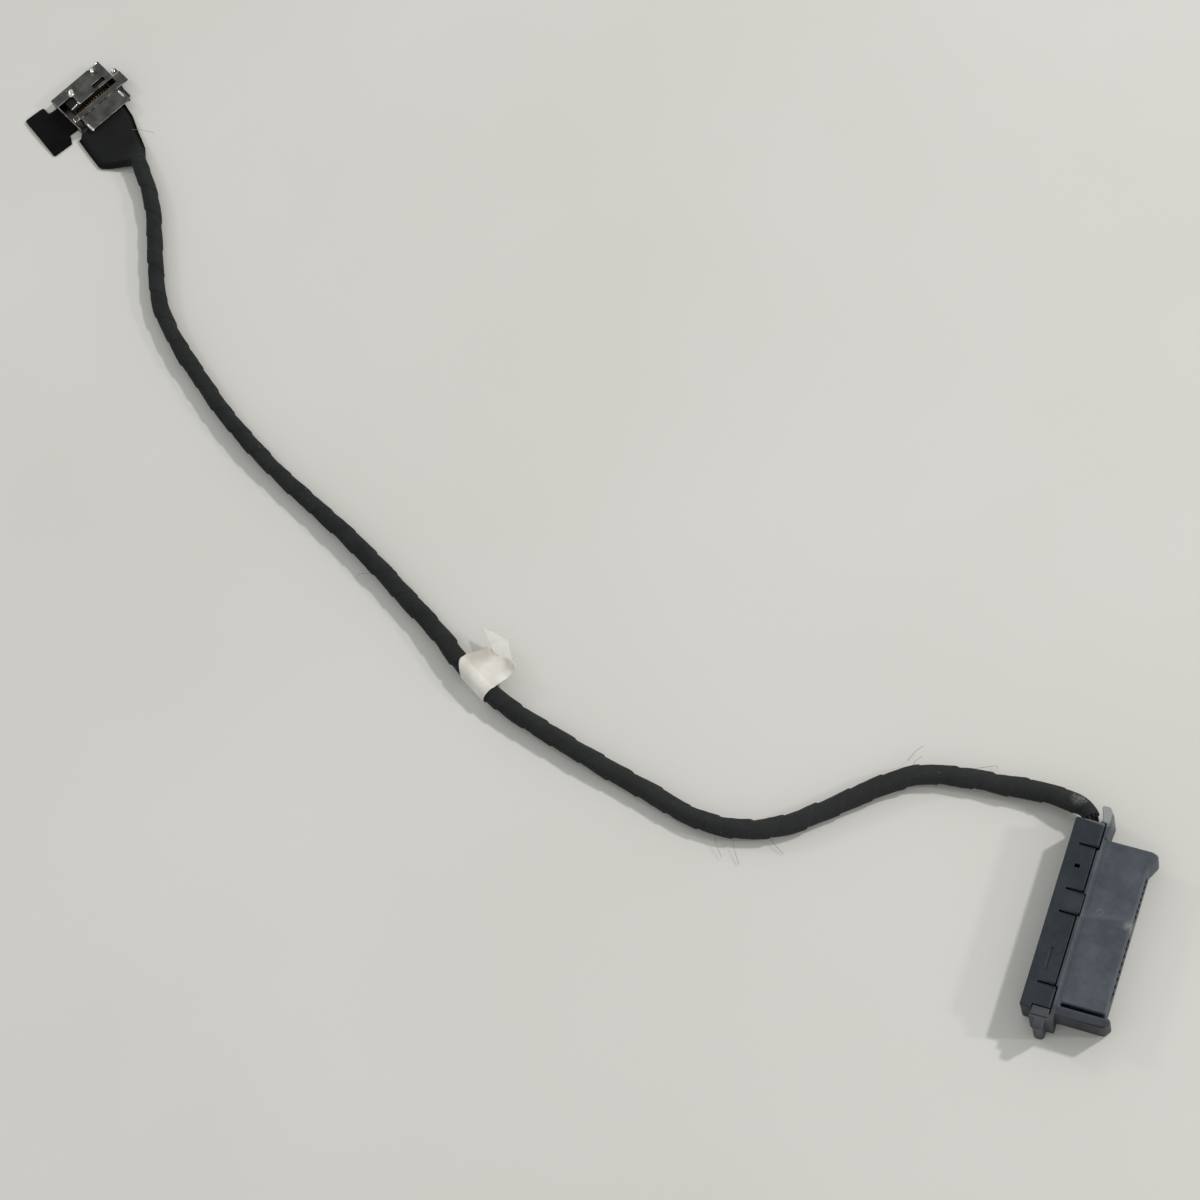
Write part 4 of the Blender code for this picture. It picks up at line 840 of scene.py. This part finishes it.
def label(material):
    """The film label: round the cable and out in a flag with slanted edges and a curled, rounded corner."""
    centre_z = LABEL_MIDDLE[2]
    start, leave = math.radians(LABEL_WRAP_START), math.radians(LABEL_LEAVE)
    wrap_steps, flag_steps, along_steps = 26, 26, 30
    leave_out = LABEL_WRAP * math.cos(leave)
    leave_z = centre_z + LABEL_WRAP * math.sin(leave)
    bm = bmesh.new()
    rows = []
    for n in range(along_steps + 1):
        t = n / along_steps
        guess = LABEL_LOW_END + (LABEL_HIGH_END - LABEL_LOW_END) * t
        flag_end = FLAG_END[1] + (FLAG_END[0] - guess) * FLAG_END_SLANT
        row = []
        for i in range(wrap_steps):
            angle = start + (leave - start) * i / wrap_steps
            cut_back = LABEL_CUT_BACK * eased((angle - math.radians(80)) / math.radians(90))
            along = guess - cut_back * t
            out, z = LABEL_WRAP * math.cos(angle), centre_z + LABEL_WRAP * math.sin(angle)
            row.append(bm.verts.new(label_place(along, out, z)))
        for i in range(flag_steps + 1):
            w = i / flag_steps
            out = leave_out + (flag_end - leave_out) * w
            low = LABEL_LOW_END - FLAG_LOW_SLANT * out
            high = LABEL_HIGH_END - max(0.0, out - FLAG_HIGH_FROM) * FLAG_HIGH_SLANT
            bite = max(0.0, (out - (flag_end - LABEL_ROUNDING)) / LABEL_ROUNDING)
            low += LABEL_ROUNDING * (1 - math.sqrt(max(0.0, 1 - bite * bite)))
            along = low + (high - low) * t
            drop = (leave_z - LABEL_FLAG_Z) * eased(w / 0.8)
            curl = LABEL_CURL * max(0.0, w - 0.55) / 0.45 * max(0.0, 1 - t / 0.75)
            ripple = 0.08 * MM * noise.noise(Vector((along / (2.5 * MM), out / (2.0 * MM), 5.0)))
            row.append(bm.verts.new(label_place(along, out, leave_z - drop + curl + ripple)))
        rows.append(row)
    skin(bm, rows, lambda row, column: (row * 0.27 * MM, column * 0.2 * MM), False)
    return thicken(made_object("label_film_sheet", bm, material, "label_film", sharp=60), LABEL_FILM)


def label_laminate(material):
    """The clear flap of laminate that sticks out past the printed film."""
    steps = 14
    bm = bmesh.new()
    rows = []
    for n in range(steps + 1):
        t = n / steps
        near, far = [Vector(a).lerp(Vector(b), t) for a, b in zip(*LAMINATE_CORNERS)]
        row = []
        for i in range(steps + 1):
            spot = near.lerp(far, i / steps)
            ripple = 0.25 * MM * t * noise.noise(Vector((spot.x / (2.0 * MM), spot.y / (2.0 * MM), 9.0)))
            row.append(bm.verts.new(label_place(spot.x, spot.y, spot.z + ripple)))
        rows.append(row)
    skin(bm, rows, lambda row, column: (row * 0.25 * MM, column * 0.3 * MM), False)
    return thicken(made_object("label_laminate", bm, material, "label_film", sharp=60), LAMINATE_FILM)


def pull_tab(material):
    """The film pull tab: rounded corners and a slight wave, flat on the table under the shell."""
    outline = []
    count = len(TAB_OUTLINE)
    for i, corner in enumerate(TAB_OUTLINE):
        here = Vector((*corner, 0))
        before = (Vector((*TAB_OUTLINE[i - 1], 0)) - here).normalized()
        after = (Vector((*TAB_OUTLINE[(i + 1) % count], 0)) - here).normalized()
        for n in range(7):
            t = n / 6
            start, end = here + before * TAB_CORNER, here + after * TAB_CORNER
            outline.append(start.lerp(here, t).lerp(here.lerp(end, t), t))
    bm = bmesh.new()
    bm.faces.new([bm.verts.new(spot) for spot in outline])
    bmesh.ops.triangulate(bm, faces=bm.faces)
    for axis in (0, 1):
        for n in range(-12, 12):
            cut = n * TAB_CUTS
            geometry = bm.verts[:] + bm.edges[:] + bm.faces[:]
            normal = (1, 0, 0) if axis == 0 else (0, 1, 0)
            spot = [cut if a == axis else 0 for a in range(3)]
            bmesh.ops.bisect_plane(bm, geom=geometry, plane_co=spot, plane_no=normal, dist=1e-7)
    place = BOARD @ Matrix.Translation(TAB_PLACE) @ Matrix.Rotation(math.radians(TAB_TURN), 4, "Z")
    for vert in bm.verts:
        free = eased((-0.6 * MM - vert.co.x) / (3.0 * MM))
        wave = 0.5 + 0.5 * math.sin(vert.co.y / (3.4 * MM) + 1.2)
        vert.co.z = 0.02 * MM + TAB_FILM / 2 + TAB_WAVE * free * wave
        vert.co = place @ vert.co
    return thicken(made_object("pull_tab_film", bm, material, "black_film", sharp=60), TAB_FILM)


def bent_lugs(material):
    """The shell's rolled ends and bent lugs: low rounded crests on its top that catch the light."""
    bm = bmesh.new()
    sides, steps = 12, 10
    for p, q, top, length, heading, half in BENT_LUGS:
        along = Vector((math.cos(math.radians(heading)), math.sin(math.radians(heading)), 0))
        across = Vector((-along.y, along.x, 0))
        rings = []
        for n in range(steps + 1):
            t = -1 + 2 * n / steps
            size = max(0.12, (1 - t**4) ** 0.5)
            middle = Vector((p, q, 0)) + along * (length / 2 * t)
            ring = []
            for k in range(sides + 1):
                angle = math.pi * k / sides
                z = top - (1 - math.sin(angle) * size) * min(half, LUG_CREST)
                spot = middle + across * (math.cos(angle) * half * size)
                ring.append(bm.verts.new(BOARD @ Vector((spot.x, spot.y, z))))
            low = top - LUG_DEPTH
            for side in (-1, 1):
                spot = middle + across * (side * half * size)
                ring.append(bm.verts.new(BOARD @ Vector((spot.x, spot.y, low))))
            rings.append(ring)
        join_rings(bm, rings)
    return made_object("bent_lugs", bm, material, "shell_metal", sharp=50)


def stray_fibres(material):
    """Loose threads at the tape's edges, and the frayed end of the tape by the receptacle."""
    lines = [
        ((0.02238, 0.03464, 0.0015), (0.02080, 0.03560, 0.0020), (0.01912, 0.03623, 0.0020)),
        ((0.02041, 0.03429, 0.0019), (0.01950, 0.03490, 0.0022), (0.01860, 0.03522, 0.0020)),
        (
            (0.02030, 0.02600, 0.0016),
            (0.02089, 0.02548, 0.0014),
            (0.02241, 0.02243, 0.0009),
            (0.02189, 0.02220, 0.0008),
        ),
        ((-0.00040, 0.06270, 0.0016), (-0.00212, 0.06255, 0.0010), (-0.00440, 0.06072, 0.0006)),
        (
            (-0.00040, 0.05960, 0.0014),
            (-0.00178, 0.05953, 0.0010),
            (-0.00367, 0.05839, 0.0006),
            (-0.00475, 0.05763, 0.0004),
        ),
        ((0.00150, 0.05440, 0.0010), (0.00040, 0.05365, 0.0007), (-0.00113, 0.05117, 0.0004)),
        ((0.10090, 0.21650, 0.0010), (0.10167, 0.21374, 0.0014), (0.10168, 0.21030, 0.0015)),
        ((0.02741, 0.13582, 0.0016), (0.02703, 0.13777, 0.0012), (0.02635, 0.13851, 0.0009)),
    ]
    rng = random.Random(4)
    for n in range(9):
        reach = rng.uniform(-1.0, 1.0)
        root = Vector((0.01925 + 0.0003 * reach, 0.0076 + 0.0012 * reach, 0.00435))
        tip = root + Vector((rng.uniform(0.0, 0.9), rng.uniform(-1.2, 0.2), rng.uniform(0.1, 0.5))) * MM
        bend = root.lerp(tip, 0.5) + Vector((0, 0, rng.uniform(0.05, 0.25))) * MM
        lines.append((tuple(root), tuple(bend), tuple(tip)))
    bm = bmesh.new()
    for spots in lines:
        tube_into(bm, smooth_path(spots, 0.25 * MM), 0.035 * MM, 6)
    return made_object("stray_fibres", bm, material, "cloth_tape")


def build_floor(material):
    bm = bmesh.new()
    bmesh.ops.create_grid(bm, x_segments=1, y_segments=1, size=1.6)
    floor = made_object("table_top", bm, material, None)
    floor.location = TABLE_MIDDLE


def area_lamp(name, place, size, power, colour):
    data = bpy.data.lights.new(name, "AREA")
    data.shape = "DISK"
    data.size = size
    data.energy = power
    data.color = linear(colour)[:3]
    lamp = bpy.data.objects.new(name, data)
    bpy.context.scene.collection.objects.link(lamp)
    lamp.location = place
    lamp.rotation_euler = (Vector(TABLE_MIDDLE) - Vector(place)).to_track_quat("-Z", "Y").to_euler()


def light_the_table():
    """Soft light from a pale room, and ceiling lamps that leave several faint shadows."""
    world = bpy.data.worlds.new("pale_room")
    bpy.context.scene.world = world
    world.use_nodes = True
    background = world.node_tree.nodes["Background"]
    background.inputs["Color"].default_value = linear("#F5F6F6")
    background.inputs["Strength"].default_value = 0.61
    area_lamp("ceiling_lamp_near", (0.80, -0.70, 1.05), 0.10, 9.6, "#FFFDFA")
    area_lamp("ceiling_lamp_side", (0.30, -1.20, 0.72), 0.12, 3.4, "#FFFDFA")
    area_lamp("ceiling_lamp_far", (0.40, 1.35, 0.85), 0.20, 1.8, "#FCFDFF")


place_camera()
tape = cloth_tape()
line = [Vector(CABLE_ROUTE[0])] + smooth_path(CABLE_ROUTE[1:], RING_SPACING)
sleeve, sleeve_path = cable_sleeve(tape, line)
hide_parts("cable_sleeve")
wires = bare_wires(wire_insulation(), line)
fan = taped_fan(tape)
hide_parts("tape_fan")
flag = label(label_film())
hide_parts("label_flag")
laminate = label_laminate(clear_laminate())
film_tab = pull_tab(polyester_film_black())
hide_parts("board_pull_tab")
fibres = stray_fibres(tape_fibre())
lugs = bent_lugs(rubbed_tin())

bpy.context.scene.view_settings.view_transform = "Standard"
build_floor(painted_table())
light_the_table()

surfaces = {
    "slate_plastic": slate_nylon(),
    "dark_slate_plastic": dark_slate_nylon(),
    "cloth_tape": tape,
    "black_film": film_tab.data.materials[0],
    "label_film": flag.data.materials[0],
    "shell_metal": plated_shell(),
    "gold_contact": gold_flash(),
    "insulator_plastic": connector_insulator(),
    "wire_jacket": wires.data.materials[0],
}
slots = {row["node"]: row["material_slot"] for row in frame["record"]["subparts"]}
for name, cad_object in frame["nodes"].items():
    for place in cad_object.material_slots:
        place.material = surfaces[slots[name]]
